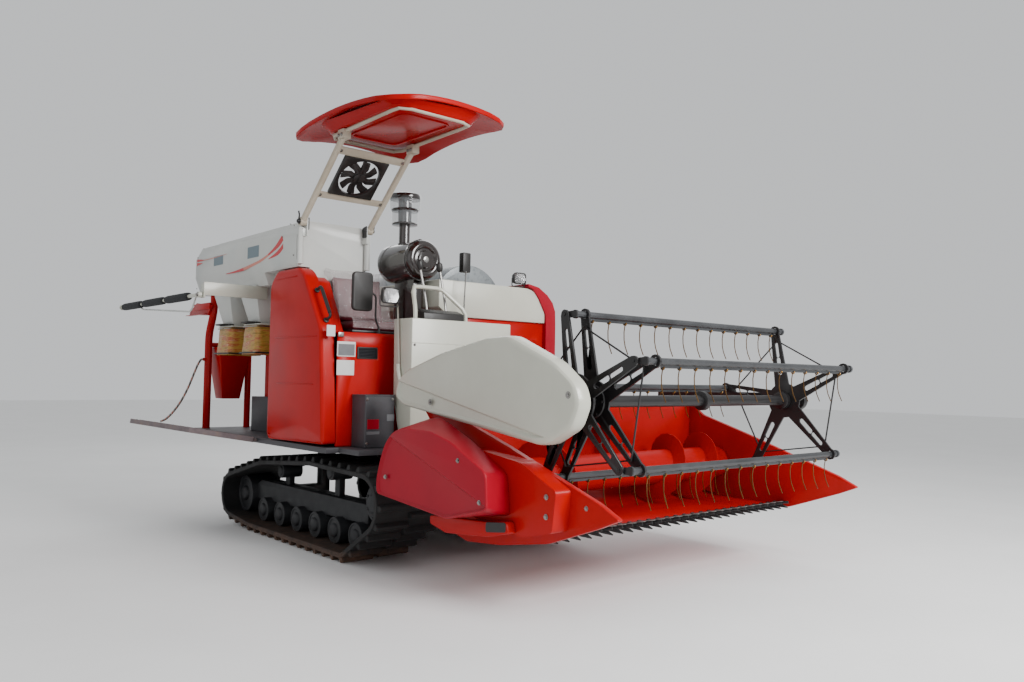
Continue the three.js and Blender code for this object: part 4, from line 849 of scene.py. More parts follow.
def housing_plates():
    """Blank plates, and the vent's mesh, near black partly with painted shade, on the front of the engine
    housing.
    """
    frame_plate = bevelled(block(-811, -686, -592, -589, 1213, 1303), 1, 1)
    inner = bevelled(block(-804, -693, -593.5, -591, 1219, 1288), 0.6, 1)
    white = bevelled(block(-811, -693, -592, -589, 1101, 1191), 1, 1)
    ready(joined(frame_plate, white), "housing_plates_white", "root", PLATE_WHITE)
    ready(inner, "housing_plate_grey", "root", PLATE_GREY)
    # the bars and the sheet just behind them are near black: partly their own dark colour, partly painted
    # shade of the vent's deep recess
    bars = [bevelled(block(-668, -535, -588, -574, z, z + 4), 1, 1) for z in range(1207, 1272, 9)]
    back = bevelled(block(-670, -533, -576, -571, 1204, 1273), 1, 1)
    rim = plate("Y", oblong(-671, -532, 1203, 1274), -592, -586, 6)
    edit(rim)
    pick(rim, "FACE", lambda f: abs(f.normal.y) > 0.9)
    bpy.ops.mesh.inset(thickness=0.006)
    bpy.ops.mesh.delete(type="FACE")
    leave()
    ready(joined(back, *bars), "housing_vent_mesh", "root", MESH)
    ready(walled(rim, 2, 0), "housing_vent_rim", "root", PLASTIC)
    catch = bevelled(block(-809, -771, -600, -590, 1330, 1357), 3, 2)
    button = turned((-790, -600, 1343), (0, -1, 0), [(-2, 8), (5, 8), (7, 6)], 16)
    ready(joined(catch, button), "housing_catch", "root", STEEL)
    tag = bevelled(block(-888, -832, -603, -598, 1330, 1396), 1.5, 1)
    ready(tag, "door_blank_plate", "side_door", PLATE_WHITE)


housing_plates()


def step_box():
    """The box under the step, with the lip of its lid, blank plates and corner bolts."""
    box = bevelled(block(-702, -500, -750, -591, 672.5, 984), 7, 3)
    ready(box, "step_box_shell", "root", GREY, 40, ["step_box"])
    light = bevelled(block(-554, -503, -753, -749, 830, 870), 1, 1)
    strip = bevelled(block(-692, -604, -753, -749, 752, 770), 1, 1)
    ready(joined(light, strip), "step_box_plates", "root", PLATE_GREY)
    red = bevelled(block(-688, -609, -753, -749, 784, 842), 1, 1)
    ready(red, "step_box_red_plate", "root", CRIMSON)
    lip = plate("Z", oblong(-706, -497, -753, -592), 979, 987, 8)
    ready(bevelled(lip, 2, 2), "step_box_lip", "root", GREY)
    heads = [bolt((x, -750, z), (0, -1, 0), 6) for x,
             z in ((-690, 700), (-690, 960), (-515, 960), (-515, 700))]
    ready(joined(*heads), "step_box_bolts", "root", STEEL)


step_box()


def thresher_lid():
    """The pale top of the thresher, its left shoulder rolled over, and the crimson cover that follows it."""
    top = skin_of("thresher_top", 0)
    edit(top)
    pick(top, "EDGE", lambda e: all(v.co.x > at(859, 0, 0).x and v.co.z > at(0, 0, 1739).z for v in e.verts)
         and abs(e.verts[0].co.y - e.verts[1].co.y) > 0.3)
    bpy.ops.mesh.bevel(offset=0.19, segments=10, affect="EDGES")
    leave()
    bevelled(top, 5, 2, 40)
    ready(top, "thresher_top_skin", "root", CREAM, 45, ["thresher_top"])
    low = (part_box("corner_cover")[0] - ORIGIN).z * 1000
    outline = [(690, 1752), (690, 1774), (790, 1756), (876, 1706), (930, 1652), (956, 1590), (960, 1500),
               (960, low),
               (862, low), (862, 1560), (838, 1600), (792, 1676), (735, 1738)]
    cover = bevelled(plate("Y", outline, -612, 1200), 5, 2, 40)
    ready(cover, "shoulder_cover", "root", CRIMSON, 40, ["corner_cover"])


thresher_lid()

# ------------------------------------------------------------------ grain tank


def ribbon(upper, lower, x, thick=1.2):
    """A thin strip between two lines of (y, z) points on the tank's side."""
    rim = [tuple(p) for p in upper] + [tuple(p) for p in reversed(lower)]
    return plate("X", rim, x - thick, x + 0.4)


def bend_line(points, count=9):
    path = smooth_path([(0, *p) for p in points], 6)
    picked = [path[round(i * (len(path) - 1) / (count - 1))] for i in range(count)]
    return [(p.y, p.z) for p in picked]


TANK_SIDE = -900
# the upper and lower edge of each stripe, as (y, z) points along it
DEEP_STRIPES = [
    ([(8, 1995), (102, 1936), (210, 1894)], [(-14, 1962), (50, 1925), (190, 1885)]),
    ([(-14, 1941), (75, 1897), (200, 1862)], [(-16, 1908), (60, 1873), (198, 1859)]),
    ([(600, 1838), (760, 1826), (905, 1821)], [(590, 1816), (750, 1814), (905, 1817)]),
    ([(1480, 1978), (1430, 1974), (1340, 1963)], [(1480, 1958), (1430, 1957), (1340, 1958)]),
    ([(1480, 1950), (1440, 1948), (1370, 1942)], [(1480, 1926), (1440, 1931), (1370, 1938)]),
]
FADED_STRIPES = [
    ([(210, 1894), (343, 1866), (600, 1838)], [(190, 1885), (324, 1850), (590, 1816)]),
    ([(1340, 1963), (1150, 1962), (900, 1966)], [(1340, 1957), (1150, 1957), (900, 1964)]),
]


def tank_stripes():
    """Sweeping red stripes and blank panels on the tank's right side."""
    for name, edges, material in (("red", DEEP_STRIPES, STRIPE), ("faded", FADED_STRIPES, FADED)):
        ribbons = [ribbon(bend_line(upper), bend_line(lower), TANK_SIDE) for upper, lower in edges]
        ready(joined(*ribbons), "tank_stripes_" + name, "root", material)
    squares = [plate("X", oblong(*sides), TANK_SIDE - 1, TANK_SIDE + 0.4, 4)
               for sides in ((352, 535, 1893, 1972), (968, 1140, 1896, 1966))]
    ready(joined(*squares), "tank_blank_panels", "root", PLATE_BLUE)


tank_stripes()


# the canopy's posts: where they stand, the (y, z) of their pivot, and the way they run up to the tube loop
CANOPY_POSTS, CANOPY_PIVOT, POST_RUN = (-880, -400), (-236, 2058), (-477, 428)


def tank_fittings():
    """The lid, seams and rivets of the tank, and the pivot brackets that carry the canopy's posts."""
    front_line = bevelled(block(-782, -398, -201.5, -196, 1690, 1694), 1, 1)
    knobs = [turned((-902, y, z), (-1, 0, 0), [(0, 5), (3, 5), (4, 3)], 12)
             for y, z in ((-170, 2040), (-120, 2052), (1460, 1990), (1460, 1750), (-170, 1850))]
    lid = plate("Z", oblong(-830, -455, 100, 1250), 2068, 2082, 30)
    bevelled(lid, 5, 2)
    seams = [bevelled(block(-851, -434, y, y + 8, 2069, 2076), 2, 1) for y in (-198, 1490)]
    ready(joined(lid, front_line, *seams), "tank_lid", "root", WHITE)
    ready(joined(*knobs), "tank_rivets", "root", STEEL)
    y, z = CANOPY_PIVOT
    for x, tag, inner in ((CANOPY_POSTS[0], "right", 1), (CANOPY_POSTS[1], "left", -1)):
        strap = plate("X", [(-262, 2008), (-212, 2008), (-206, 2074), (-262, 2086)], x + inner * 30,
                      x + inner * 35, 8)
        knob = turned((x - inner * 22, y, z), (-inner, 0, 0), [(0, 18), (4, 18), (7, 12), (14, 12), (16, 9)],
                      20)
        grip = x - inner * 30
        lever = tube([(grip, y, z), (grip, y - 16, z + 32), (grip, y - 4, z + 62)], 5, 14)
        ready(joined(strap, knob, lever), "pivot_bracket_" + tag, "root", BLACK)


tank_fittings()


def chute_gates():
    """Slide gates with dark handles at the foot of each chute."""
    parts, handles = [], []
    for y in (600, 1060):
        gate = plate("Z", oblong(-832, -608, y - 128, y + 128), 1441, 1450, 10)
        parts.append(bevelled(gate, 1.5, 1))
        bow = [(-826, y - 60, 1458), (-880, y - 60, 1458), (-880, y + 60, 1458), (-826, y + 60, 1458)]
        handles.append(tube(bow, 6, 16))
        handles.append(bevelled(block(-836, -800, y - 90, y + 90, 1450, 1462), 2, 1))
    ready(joined(*parts), "chute_gates", "root", CREAM)
    ready(joined(*handles), "chute_gate_handles", "root", PLASTIC)


chute_gates()


SLEEVE_X, SLEEVE_TOP, SLEEVE_DROP, SLEEVE_ROWS, SLEEVE_SIDES = -720, 1439, 204, 10, 44


def held(value, most):
    return max(-most, min(most, value))


def sleeve(node, y, seed):
    """A gathered amber sleeve that hangs from a chute's foot, in a steel band and a black clamp."""
    rings = []
    for k in range(SLEEVE_ROWS):
        share = k / (SLEEVE_ROWS - 1)
        z = SLEEVE_TOP - SLEEVE_DROP * k / (SLEEVE_ROWS - 1)
        ring = []
        for i in range(SLEEVE_SIDES):
            a = 2 * math.pi * i / SLEEVE_SIDES
            square = 1 / max(abs(math.cos(a)), abs(math.sin(a))) ** 0.86
            fold = 1 + 0.035 * noise.noise(Vector((math.cos(a) * 4 + seed, math.sin(a) * 4, k * 0.35)))
            flare = 0.82 + 0.13 * share ** 0.7
            r = 140 * square * min(1.0, fold * flare) * 0.985
            ring.append((SLEEVE_X + held(r * math.cos(a), 143), y + held(r * math.sin(a), 143), z))
        rings.append(ring)
    obj = lofted(rings, ends=False)
    walled(obj, 1.6, -1)
    for name, z, reach, thick, material in (("_band", 1431, 122, 4, STEEL),
                                            ("_clamp", 1247, 139, 6, PLASTIC)):
        hoop = []
        for i in range(24):
            c, w = math.cos(math.pi * i / 12), math.sin(math.pi * i / 12)
            grow = reach / max(abs(c), abs(w)) ** 0.86
            hoop.append((SLEEVE_X + held(grow * c, 138), y + held(grow * w, 138), z))
        ready(tube(hoop, thick, 0, 8, True), node + name, "root", material)
    ready(obj, node + "_folds", "root", AMBER, 60, [node])


sleeve("bag_sleeve_front", 600, 3)
sleeve("bag_sleeve_rear", 1060, 8)

# ------------------------------------------------------------------ rails and platform


def hand_rail():
    """A rail with three foam grips, its end cap and eye."""
    x, z = -1250, 1615
    core = tube([(x, 485, z), (x, 2134, z)], 13)
    eye = turned((x - 12, 470, z), (1, 0, 0), [(0, 18), (1, 20), (23, 20), (24, 18)], 24)
    cap = turned((x, 2128, z), (0, 1, 0), [(0, 20), (6, 22), (12, 14)], 20)
    ready(joined(core, eye, cap), "hand_rail_core", "hand_rail", CREAM, 35, ["hand_rail"])
    grips = []
    for i in range(3):
        y0 = 655 + i * 495
        grips.append(turned((x, y0, z), (0, 1, 0),
                            [(0, 19), (8, 26), (40, 28), (390, 28), (422, 26), (430, 19)], 24))
    ready(joined(*grips), "hand_rail_grips", "hand_rail", FOAM)
    stay = tube([(x + 4, 1700, z - 18), (x + 10, 1640, 1575), (x + 18, 660, 1512), (x + 8, 545, z - 6)], 6,
                40)
    ready(stay, "hand_rail_stay", "hand_rail", WHITE)


hand_rail()


def rail_bracket():
    """The folded red bracket beside the rear post, and the arm's pivot bolt."""
    tray = plate("X", [(1378, 1543), (1770, 1564), (1764, 1582), (1619, 1651), (1308, 1619)], -842, -824, 8)
    lip = block(-874, -838, 1384, 1764, 1553, 1557)
    ready(joined(bevelled(tray, 3, 2), bevelled(lip, 1, 1)), "rail_bracket", "root", RED)
    ready(bolt((-1264, 470, 1615), (-1, 0, 0), 10), "rail_pivot_bolt", "root", STEEL)


rail_bracket()


# the platform rises away from its hinge beside the deck
PLATFORM_RISE, PLATFORM_X, PLATFORM_Z, PLATFORM_THICK = math.radians(10), -896.6, 658, 17


def platform_top(x):
    rise = (PLATFORM_X - x) * math.tan(PLATFORM_RISE)
    return PLATFORM_Z + PLATFORM_THICK / math.cos(PLATFORM_RISE) + rise


def platform_fittings():
    """Rivets along the platform's outer edge and a tread of short bars that slant to and fro."""
    rivets = []
    x, lean = -1270, (-math.sin(PLATFORM_RISE), 0, math.cos(PLATFORM_RISE))
    for y in range(560, 1700, 130):
        rivets.append(turned((x, y, platform_top(x) - 1), lean, [(0, 6), (2.5, 6), (4, 3)], 12))
    treads = []
    for row in range(9):
        for k in range(22):
            x, y = -950 - row * 36, 400 + k * 58 + (row % 2) * 29
            if y - 330 < (-960 - x) * 0.55 or y > 1670:
                continue
            turn = 1 if (row + k) % 2 else -1
            ends = [(x + d, y + d * turn, platform_top(x + d) - 0.5) for d in (-9, 9)]
            treads.append(tube(ends, 3, 0, 4))
    ready(joined(*rivets), "platform_rivets", "platform", STEEL)
    ready(joined(*treads), "platform_tread", "platform", PLANK)


platform_fittings()

# ------------------------------------------------------------------ canopy


# the roof's crown: its place, its half width and half length as a whole ellipsoid, and that ellipsoid's rise
ROOF_X, ROOF_Y, ROOF_TOP, ROOF_WIDE, ROOF_LONG, ROOF_RISE = -560, -840, 2675, 1000, 1300, 560
CANOPY_LEAN = Vector((0, 0.668, 0.744))


def roof_height(x, y, drop):
    """The height of the roof's crown at a place, less a drop."""
    u, v = (x - ROOF_X) / ROOF_WIDE, (y - ROOF_Y) / ROOF_LONG
    return ROOF_TOP - drop - ROOF_RISE + ROOF_RISE * math.sqrt(1 - u * u - v * v)


def canopy_roof():
    """A moulded roof with a rolled rim and a pressed panel under it."""
    roof = skin_of("canopy_roof", 0, merge=0.1)
    bevelled(roof, 9, 3, 40)
    ready(roof, "canopy_roof_shell", "canopy", ROOF_RED, 50, ["canopy_roof"])
    rim, middle = rounded(oblong(-915, -365, -1350, -545), 110, 6), Vector((-640, -948))
    steps = ((14, 2537), (4, 2540), (0, 2548))
    rings = [[(*(p + (middle - p).normalized() * inset), z) for p in rim] for inset, z in steps]
    spread = [p + (p - middle).normalized() * 55 for p in rim]
    rings.append([(p.x, p.y, roof_height(p.x, p.y, 27)) for p in spread])
    ready(lofted(rings), "canopy_roof_panel", "canopy", ROOF_RED, 50)
    line = [(p.x, p.y, 2537) for p in rounded(oblong(-800, -480, -1240, -650), 60, 5)]
    ready(tube(line, 8, 0, 8, True), "canopy_panel_bead", "canopy", ROOF_RED, 60)


canopy_roof()


def canopy_fan():
    """The fan, each blade made broader by a second leaf a little further round."""
    middle = at(-660, -529.4, 2321.2)
    blades = skin_of("canopy_fan", 1)
    turn = Matrix.Rotation(math.radians(9), 4, CANOPY_LEAN)
    second = copy_of(blades, Matrix.Translation(middle) @ turn @ Matrix.Translation(-middle))
    ready(joined(blades, second), "canopy_fan_blades", "canopy_fan", PLASTIC, 40,
          ["canopy_fan"])


canopy_fan()


def canopy_brackets():
    """Clamps where the posts meet the tube loop, with their bolts and those of the flat bars."""
    parts, heads = [], []
    for x in CANOPY_POSTS:
        parts.append(bevelled(block(x - 27, x + 27, -770, -700, 2478, 2534), 6, 2))
        for dy in (-752, -718):
            heads.append(bolt((x - 27, dy, 2500), (-1, 0, 0), 8))
    for x, inner in zip(CANOPY_POSTS, (24, -24)):
        for share in (0.355, 0.88):
            y, z = CANOPY_PIVOT[0] + POST_RUN[0] * share, CANOPY_PIVOT[1] + POST_RUN[1] * share
            heads.append(bolt((x + inner, y - 4, z - 5), -CANOPY_LEAN, 7))
    ready(joined(*parts), "canopy_clamps", "canopy", BEIGE)
    ready(joined(*heads), "canopy_bolts", "canopy", STEEL)


canopy_brackets()

# ------------------------------------------------------------------ operator's place


def swell(obj, most):
    """Fills a cushion with air until it crowns, and lets no point move further than a limit in mm."""
    remesh = obj.modifiers.new("even", "REMESH")
    remesh.mode, remesh.voxel_size = "VOXEL", 0.007
    only(obj)
    bpy.ops.object.modifier_apply(modifier=remesh.name)
    before = [v.co.copy() for v in obj.data.vertices]
    cloth = obj.modifiers.new("air", "CLOTH")
    cloth.settings.use_pressure, cloth.settings.uniform_pressure_force = True, 4.0
    cloth.settings.effector_weights.gravity = 0
    for step in range(1, 13):
        bpy.context.scene.frame_set(step)
    shape = obj.evaluated_get(bpy.context.evaluated_depsgraph_get())
    after = [v.co.copy() for v in shape.data.vertices]
    obj.modifiers.remove(cloth)
    bpy.context.scene.frame_set(1)
    for vertex, a, b in zip(obj.data.vertices, before, after):
        move = b - a
        if move.length > most / 1000:
            move = move.normalized() * most / 1000
        vertex.co = a + move


def seat():
    """A two-part cushion in maroon vinyl on its black pan."""
    base = bevelled(block(-676, -304, -536, -240, 1380, 1432), 24, 4)
    back = plate("X", [(-306, 1446), (-250, 1446), (-222, 1724), (-256, 1736)], -666, -314, 18)
    bevelled(back, 12, 3)
    for part, name, slack in ((base, "seat_cushion", 8), (back, "seat_backrest", 6)):
        swell(part, slack)
        ready(part, name, "root", VINYL, 60, ["seat"] if name == "seat_cushion" else [])
    pan = bevelled(block(-688, -292, -548, -228, 1363, 1380), 5, 2)
    spine = plate("X", [(-240, 1372), (-214, 1372), (-210, 1700), (-220, 1700)], -600, -380, 6)
    ready(joined(pan, spine), "seat_pan", "root", BLACK)


seat()


FILM_WIDE = 410


def seat_film():
    """Crumpled clear film pulled over the backrest and cushion."""
    line = smooth_path([(0, -190, 1400), (0, -192, 1620), (0, -212, 1758), (0, -250, 1772), (0, -292, 1720),
                        (0, -330, 1560), (0, -352, 1470), (0, -460, 1462), (0, -560, 1448), (0, -572, 1392)],
                        7)
    rows = len(line)
    bpy.ops.mesh.primitive_grid_add(x_subdivisions=44, y_subdivisions=rows - 1, size=1)
    obj = bpy.context.object
    for vertex in obj.data.vertices:
        u, v = vertex.co.x + 0.5, vertex.co.y + 0.5
        i = min(rows - 1, max(0, round(v * (rows - 1))))
        p = line[i]
        q = line[min(rows - 1, i + 1)] - line[max(0, i - 1)]
        normal = Vector((0, q.z, -q.y)).normalized()
        broad, fine = noise.noise(Vector((u * 7, v * 9, 0.4))), noise.noise(Vector((u * 17, v * 19, 2.1)))
        wrinkle = 9 * broad + 5 * fine
        edge = 20 * max(0, abs(u - 0.5) - 0.42) / 0.08
        x = -704 + FILM_WIDE * u
        out = p - normal * (wrinkle - edge * 0.5)
        vertex.co = at(x, out.y, out.z)
    ready(obj, "seat_film", "root", FILM, 80)


seat_film()


def mirror():
    """A black shell with a bright glass let into its rear face, on a bent stalk."""
    shell = plate("Y", oblong(-732, -592, 1492, 1730), -625, -597, 30)
    bevelled(shell, 9, 3)
    bends = [(-515, -575, 1362.4), (-515, -575, 1395), (-545, -580, 1450), (-562, -608, 1596),
             (-615, -608, 1612)]
    stalk = tube(bends, 6, 22)
    foot = turned((-515, -575, 1362.6), (0, 0, 1), [(0, 18), (5, 18), (9, 9), (30, 8)], 16)
    ready(joined(shell, stalk, foot), "mirror_shell", "root", PLASTIC, 40, ["mirror"])
    glass = plate("Y", oblong(-724, -600, 1502, 1720), -598, -595.5, 24)
    ready(glass, "mirror_glass", "root", CHROME)


mirror()


def lamp(x, y, z, wide, high, name):
    """A square work lamp: black shell, bright bowl and pressed glass, on a forked bracket."""
    def front(inset):
        return oblong(x - wide + inset, x + wide - inset, z - high + inset, z + high - inset)

    shell = plate("Y", front(0), y - 4, y + 40, 18)
    edit(shell)
    pick(shell, "FACE", lambda f: f.normal.y > 0.9)
    bpy.ops.transform.resize(value=(0.7, 1, 0.7))
    leave()
    bevelled(shell, 4, 2)
    rim = tube([(p.x, y - 6, p.y) for p in rounded(front(5), 16, 4)], 5, 0, 8, True)
    left, right, low = x - wide - 2, x + wide + 2, z - high - 14
    fork = tube([(left, y + 14, z), (left, y + 14, low), (right, y + 14, low), (right, y + 14, z)], 4, 12, 8)
    ready(joined(shell, rim, fork), name + "_shell", "root", PLASTIC)
    dish = [(0, wide * 0.82), (1, wide * 0.82), (1.5, wide * 0.6), (0.2, wide * 0.3)]
    bowl = turned((x, y - 7, z), (0, -1, 0), dish, 24)
    ready(bowl, name + "_bowl", "root", CHROME)
    glass = plate("Y", front(6), y - 13, y - 9, 14)
    ready(bevelled(glass, 1.5, 2), name + "_glass", "root", LAMP_GLASS)


def lamp_stand():
    """The bent post that carries the operator's lamp; its lamp block gives way to the lamp itself."""
    stand = skin_of("lamp_stand", 0)
    edit(stand)
    low = at(0, 0, 1534).z
    pick(stand, "VERT", lambda v: v.co.z > low and v.co.x < at(-497.5, 0, 0).x)
    bpy.ops.mesh.delete(type="VERT")
    leave()
    ready(stand, "lamp_post", "root", CREAM, 50, ["lamp_stand"])


lamp_stand()
lamp(-562, -772, 1583, 62, 50, "operator_lamp")
lamp(626, -585, 1806, 56, 42, "thresher_lamp")


def air_cleaner():
    """A glossy black canister with a clamped end cap, a stack, a clear cup and its rain hat."""
    x, z, y = -194, 1855, -348
    body = turned((x, -200, z), (0, -1, 0), [(0, 96), (8, 118), (22, 127), (60, 127), (62, 129), (70, 129),
                                             (72, 127),
                  (330, 127), (332, 130), (344, 130), (346, 127)], 40)
    cap = turned((x, -536, z), (0, -1, 0), [(0, 127), (2, 134), (16, 135), (18, 130), (26, 130), (46, 128),
                                            (62, 118),
                 (70, 100), (66, 84), (56, 74), (58, 60), (72, 52), (75, 30), (73, 12)], 40)
    stack = turned((x, y, z + 100), (0, 0, 1),
                   [(0, 44), (30, 44), (34, 37), (190, 37), (195, 42), (210, 42), (214, 37),
                   (320, 37)], 28)
    hat = turned((x, y, 2276), (0, 0, 1), [(0, 92), (2, 101), (8, 103), (24, 103), (36, 98), (42, 80),
                                           (44, 20)], 36)
    flange = turned((x, y, 2198), (0, 0, 1), [(0, 78), (2, 88), (12, 94), (17, 90)], 32)
    foot_ring = turned((x, y, 2106), (0, 0, 1), [(0, 60), (3, 86), (10, 88), (14, 84)], 32)
    column = turned((x, y, 2112), (0, 0, 1), [(0, 46), (168, 46)], 24)
    cradle = bevelled(block(x - 30, x + 50, -515, -280, 1362.6, 1756), 8, 2)
    clips = [bevelled(block(x + 128 * math.cos(a) - 9, x + 128 * math.cos(a) + 9, -560, -520,
                            z + 128 * math.sin(a) - 9, z + 128 * math.sin(a) + 9), 3, 1)
             for a in (math.radians(d) for d in (95, 215, 335))]
    whole = joined(body, cap, stack, hat, flange, foot_ring, column, cradle, *clips)
    ready(whole, "air_cleaner_canister", "root", GLOSS_BLACK, 40, ["air_cleaner"])
    cup = turned((x, y, 2116), (0, 0, 1), [(0, 84), (2, 86), (84, 86), (96, 90), (100, 99), (150, 103),
                                           (162, 103)], 36)
    ready(cup, "air_cleaner_cup", "root", CUP, 50)
    knob = turned((x, -610, z), (0, -1, 0), [(-4, 20), (0, 20), (2, 9), (3, 9)], 12)
    ready(knob, "air_cleaner_nut", "root", STEEL)


air_cleaner()


def levers():
    """Two levers with black knobs behind the console, and the marker rod with its box."""
    rods, knobs, y = [], [], -762
    for x0, x1 in ((-296, -322), (-150, -172)):
        rods.append(tube([(x0, y - 34, 1380), (x0, y - 20, 1480), (x0 - 6, y, 1600), (x1, y + 30, 1770)], 8,
                         60))
        knobs.append(turned((x1, y + 30, 1764), (-0.1, 0.1, 1),
                            [(0, 10), (6, 16), (30, 22), (52, 20), (62, 10)], 20))
        knobs.append(turned((x0, y - 20, 1440), (0, 0.1, 1), [(0, 26), (30, 20), (34, 10)], 16))
    ready(joined(*rods), "lever_rods", "root", STEEL)
    ready(joined(*knobs), "lever_knobs", "root", PLASTIC)
    rod = tube([(44, -704, 1449), (49, -702, 1605), (68, -690, 1790), (75, -666, 1850)], 5, 30)
    stay = turned((44, -704, 1449), (0, 0, 1), [(0, 20), (5, 20), (8, 11), (24, 9)], 16)
    ready(joined(rod, stay), "marker_rod", "root", STEEL)
    box = bevelled(block(44, 108, -690, -640, 1790, 1921), 8, 2)
    ready(box, "marker_box", "root", PLASTIC)


levers()


def console_fittings():
    """A dark instrument pod, switches and seams on the console."""
    pod = plate("X", [(-886, 1446), (-836, 1446), (-800, 1500), (-812, 1516), (-880, 1490)], -390, -90, 8)
    bevelled(pod, 5, 2)
    ready(pod, "instrument_pod", "root", PLASTIC)
    seams = [bevelled(block(-478, 178, -891.6, -888, z, z + 4), 1, 1) for z in (1060, 1300)]
    seams.append(bevelled(block(-152, -148, -891.6, -888, 1064, 1300), 1, 1))
    ready(joined(*seams), "console_seams", "root", CREAM)
    heads = [bolt((x, -890, z), (0, -1, 0), 6) for x in (-460, 160) for z in (700, 1040, 1290)]
    ready(joined(*heads), "console_bolts", "root", STEEL)


console_fittings()

# ------------------------------------------------------------------ reel

# the second star's axis is a crank's length behind the first one's
REEL_Y, REEL_Z, SLAT_CIRCLE, CRANK = -2250, 994, 428, 50
BAT_ANGLES = [math.radians(98.8 - 72 * i) for i in range(5)]
BATS = [(REEL_Y - SLAT_CIRCLE * math.cos(a), REEL_Z + SLAT_CIRCLE * math.sin(a)) for a in BAT_ANGLES]


def slots_cutter(x0, x1, dy):
    """Long holes in the arms of a star."""
    parts = []
    for y, z in BATS:
        run = Vector((y - REEL_Y, z - REEL_Z)).normalized()
        across = Vector((-run.y, run.x))
        for near, far, wide in ((170, 250, 15), (275, 345, 12)):
            rim = []
            for end, turn in ((near, 180), (far, 0)):
                middle = Vector((REEL_Y + dy, REEL_Z)) + run * end
                for a in range(-90, 91, 30):
                    b = math.radians(a + turn)
                    rim.append(tuple(middle + run * math.cos(b) * wide + across * math.sin(b) * wide))
            parts.append(plate("X", rim, x0, x1))
    return joined(*parts)


def stars():
    """Black pressed stars with long holes, and the shaft with its clamps."""
    rotor = skin_of("reel_rotor", 0)
    pierced(rotor, slots_cutter(-380, 1380, 0))
    bevelled(rotor, 1.2, 1, 50)
    ready(rotor, "reel_stars", "reel", BLACK, 35, ["reel_rotor"])
    second = skin_of("crank_star", 0)
    pierced(second, slots_cutter(-460, -400, CRANK))
    bevelled(second, 1.2, 1, 50)
    ready(second, "reel_second_star", "crank_star", BLACK, 35, ["crank_star"])
    collars = [turned((x, REEL_Y, REEL_Z), (1, 0, 0), [(0, 46), (4, 52), (34, 52), (38, 46)], 24)
               for x in (-326, 1290, 500)]
    rings = [turned((x, REEL_Y, REEL_Z), (1, 0, 0), [(0, 78), (6, 82), (12, 78)], 32) for x in (-348, 1342)]
    heads = [bolt((x, REEL_Y + 68 * math.cos(a), REEL_Z + 68 * math.sin(a)), (d, 0, 0), 7)
             for x, d in ((-348, -1), (1354, 1)) for a in (math.radians(60 * k) for k in range(6))]
    ready(joined(*collars, *rings, *heads), "reel_hub_clamps", "reel", BLACK)


stars()


def tine(length):
    """One spring tine, hanging from the slat's middle: two turns of coil and a bowed finger."""
    coil = [(12 * k / 16, 7 * math.sin(k * math.pi / 4), -30 + 7 * math.cos(k * math.pi / 4))
            for k in range(19)]
    finger = [(14, 8, -40), (14, 13, -70), (14, 12, -110), (14, 4, -145), (14, -6, -168), (14, -14, -length)]
    return tube(coil + finger, 2.7, 0, 6)


def bats():
    """Slat tubes with end caps, their spring tines and the short cranks to the second star."""
    one = tine(186)
    first, last, count = -280, 1290, 14
    for i, (y, z) in enumerate(BATS):
        body = f"bat_{i + 1}"
        slat = tube([(-410, y, z), (1408, y, z)], 17, 0, 16)
        board = bevelled(block(-300, 1310, y - 3, y + 3, z - 30, z + 4), 2, 1)
        caps = [turned((x, y, z), (d, 0, 0), [(0, 20), (2, 22), (14, 22), (16, 18)], 16) for x,
                d in ((1392, 1), (-392, -1))]
        ready(joined(slat, board, *caps), f"slat_{i + 1}", body, SLAT, 35,
              [f"reel_bat_{i + 1}"])
        crank = plate("X", [(y - 22, z - 20), (y + 66, z - 13), (y + 66, z + 13), (y - 22, z + 20)], -415.4,
                      -406, 10)
        bevelled(crank, 1.5, 1)
        pin = turned((-432, y + CRANK, z), (1, 0, 0), [(0, 7), (1, 7.8), (18, 7.8), (19, 7.8)], 12)
        ready(joined(crank, pin), f"slat_crank_{i + 1}", body, BLACK)
        fingers = []
        for k in range(count):
            x = first + (last - first) * k / (count - 1)
            fingers.append(copy_of(one, carried((x - 10.5, y, z))))
        ready(joined(*fingers), f"tines_{i + 1}", body, TINE, 60)
    bpy.data.objects.remove(one)


bats()


def reel_ties():
    """Thin tie rods between neighbouring slats outside each star."""
    for x, tag in ((-352, "right"), (1350, "left")):
        hub, parts = Vector((REEL_Y, REEL_Z)), []
        for bat, following in zip(BATS, BATS[1:] + BATS[:1]):
            a, b = (Vector(p) + (hub - Vector(p)) * 0.14 for p in (bat, following))
            parts.append(tube([(x, a.x, a.y), (x, b.x, b.y)], 4.5, 0, 8))
        ready(joined(*parts), "reel_ties_" + tag, "reel", BLACK)


reel_ties()

# ------------------------------------------------------------------ header


def header_fittings():
    """A wear shoe, a black plate of painted shade where the hand hole opens, and bolts on the header's right
    side.
    """
    shoe = plate("X", [(-2060, 368), (-1900, 330), (-1560, 300), (-1420, 330), (-1420, 372), (-1880, 402),
                       (-2040, 420)],
                 -700, -649, 16)
    bevelled(shoe, 6, 2)
    ready(shoe, "header_shoe", "header", RED)
    # the hand hole is a flat black plate on the side: its black is painted shade of the opening
    hand_hole_shade = plate("X", [(-2040, 372), (-1890, 352), (-1890, 402), (-2040, 420)], -703, -698, 14)
    ready(bevelled(hand_hole_shade, 2, 1), "header_hand_hole_painted_shade", "header", BLACK)
    heads = [bolt((-650, y, z), (-1, 0, 0), 9) for y, z in ((-2262, 470), (-2262, 560), (-1400, 700))]
    heads += [bolt((-550, y, z), (-1, 0, 0), 8) for y, z in ((-2420, 520), (-1310, 900))]
    ready(joined(*heads), "header_bolts", "header", STEEL)


header_fittings()


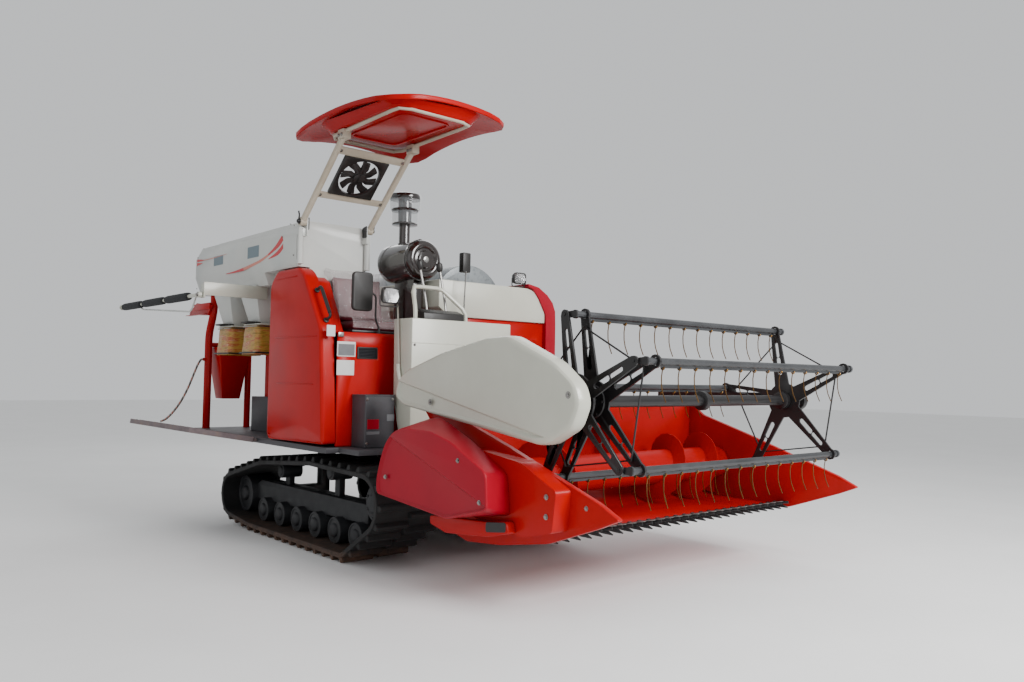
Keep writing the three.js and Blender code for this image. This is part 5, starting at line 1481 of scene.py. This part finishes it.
KNIFE_PITCH, KNIFE_RAKE = 76.2, math.radians(10)


def knife():
    """Black finger guards and the bright knife sections between them."""
    guard = lofted([[(-15, 0, -16), (15, 0, -16), (15, 0, 16), (-15, 0, 16)],
                    [(-13, -40, -13), (13, -40, -13), (13, -40, 12), (-13, -40, 12)],
                    [(-3, -104, -4), (3, -104, -4), (3, -104, 2), (-3, -104, 2)]])
    bevelled(guard, 3, 1)
    section = bevelled(plate("Z", [(-34, 0), (34, 0), (8, -62), (-8, -62)], 0, 3), 1, 1)
    for shape, count, place, rake, name, material, slot in (
        (guard, 27, (-504, -2092, 342), KNIFE_RAKE, "knife_guards", BLACK, "black_paint"),
        (section, 26, (-480, -2128, 354), -KNIFE_RAKE, "knife_sections", STEEL, "bare_steel"),
    ):
        x, y, z = place
        tilt = Matrix.Rotation(rake, 4, "X")
        row = [copy_of(shape, carried((x + KNIFE_PITCH * k, y, z), tilt)) for k in range(count)]
        bpy.data.objects.remove(shape)
        ready(joined(*row), name, "header", material)


knife()

# ------------------------------------------------------------------ floor and light


def studio():
    """A pale floor under a pale sky, with a key light in front, a weak side light and one behind."""
    bpy.ops.mesh.primitive_plane_add(size=60, location=(0, 0, 0))
    floor = bpy.context.object
    floor.name = "floor"
    floor.data.materials.append(finish("pale_floor", ["#e9e9e8", "#eeeeed"], (0.7, 0.8), 900))
    world = bpy.data.worlds.new("sky")
    bpy.context.scene.world = world
    world.use_nodes = True
    world.node_tree.nodes["Background"].inputs[0].default_value = linear("#f4f6f8")
    world.node_tree.nodes["Background"].inputs[1].default_value = 0.8
    for place, aim, size, power in (
        ((800, -7000, 4200), (0, -400, 900), 3.0, 600),
        ((-6500, -2500, 3000), (0, 200, 900), 4.0, 25),
        ((4000, 4500, 5000), (0, 0, 1200), 5.0, 120),
    ):
        bpy.ops.object.light_add(type="AREA", location=at(*place))
        light = bpy.context.object
        light.data.size, light.data.energy = size, power
        light.rotation_euler = (at(*aim) - at(*place)).to_track_quat("-Z", "Y").to_euler()


studio()
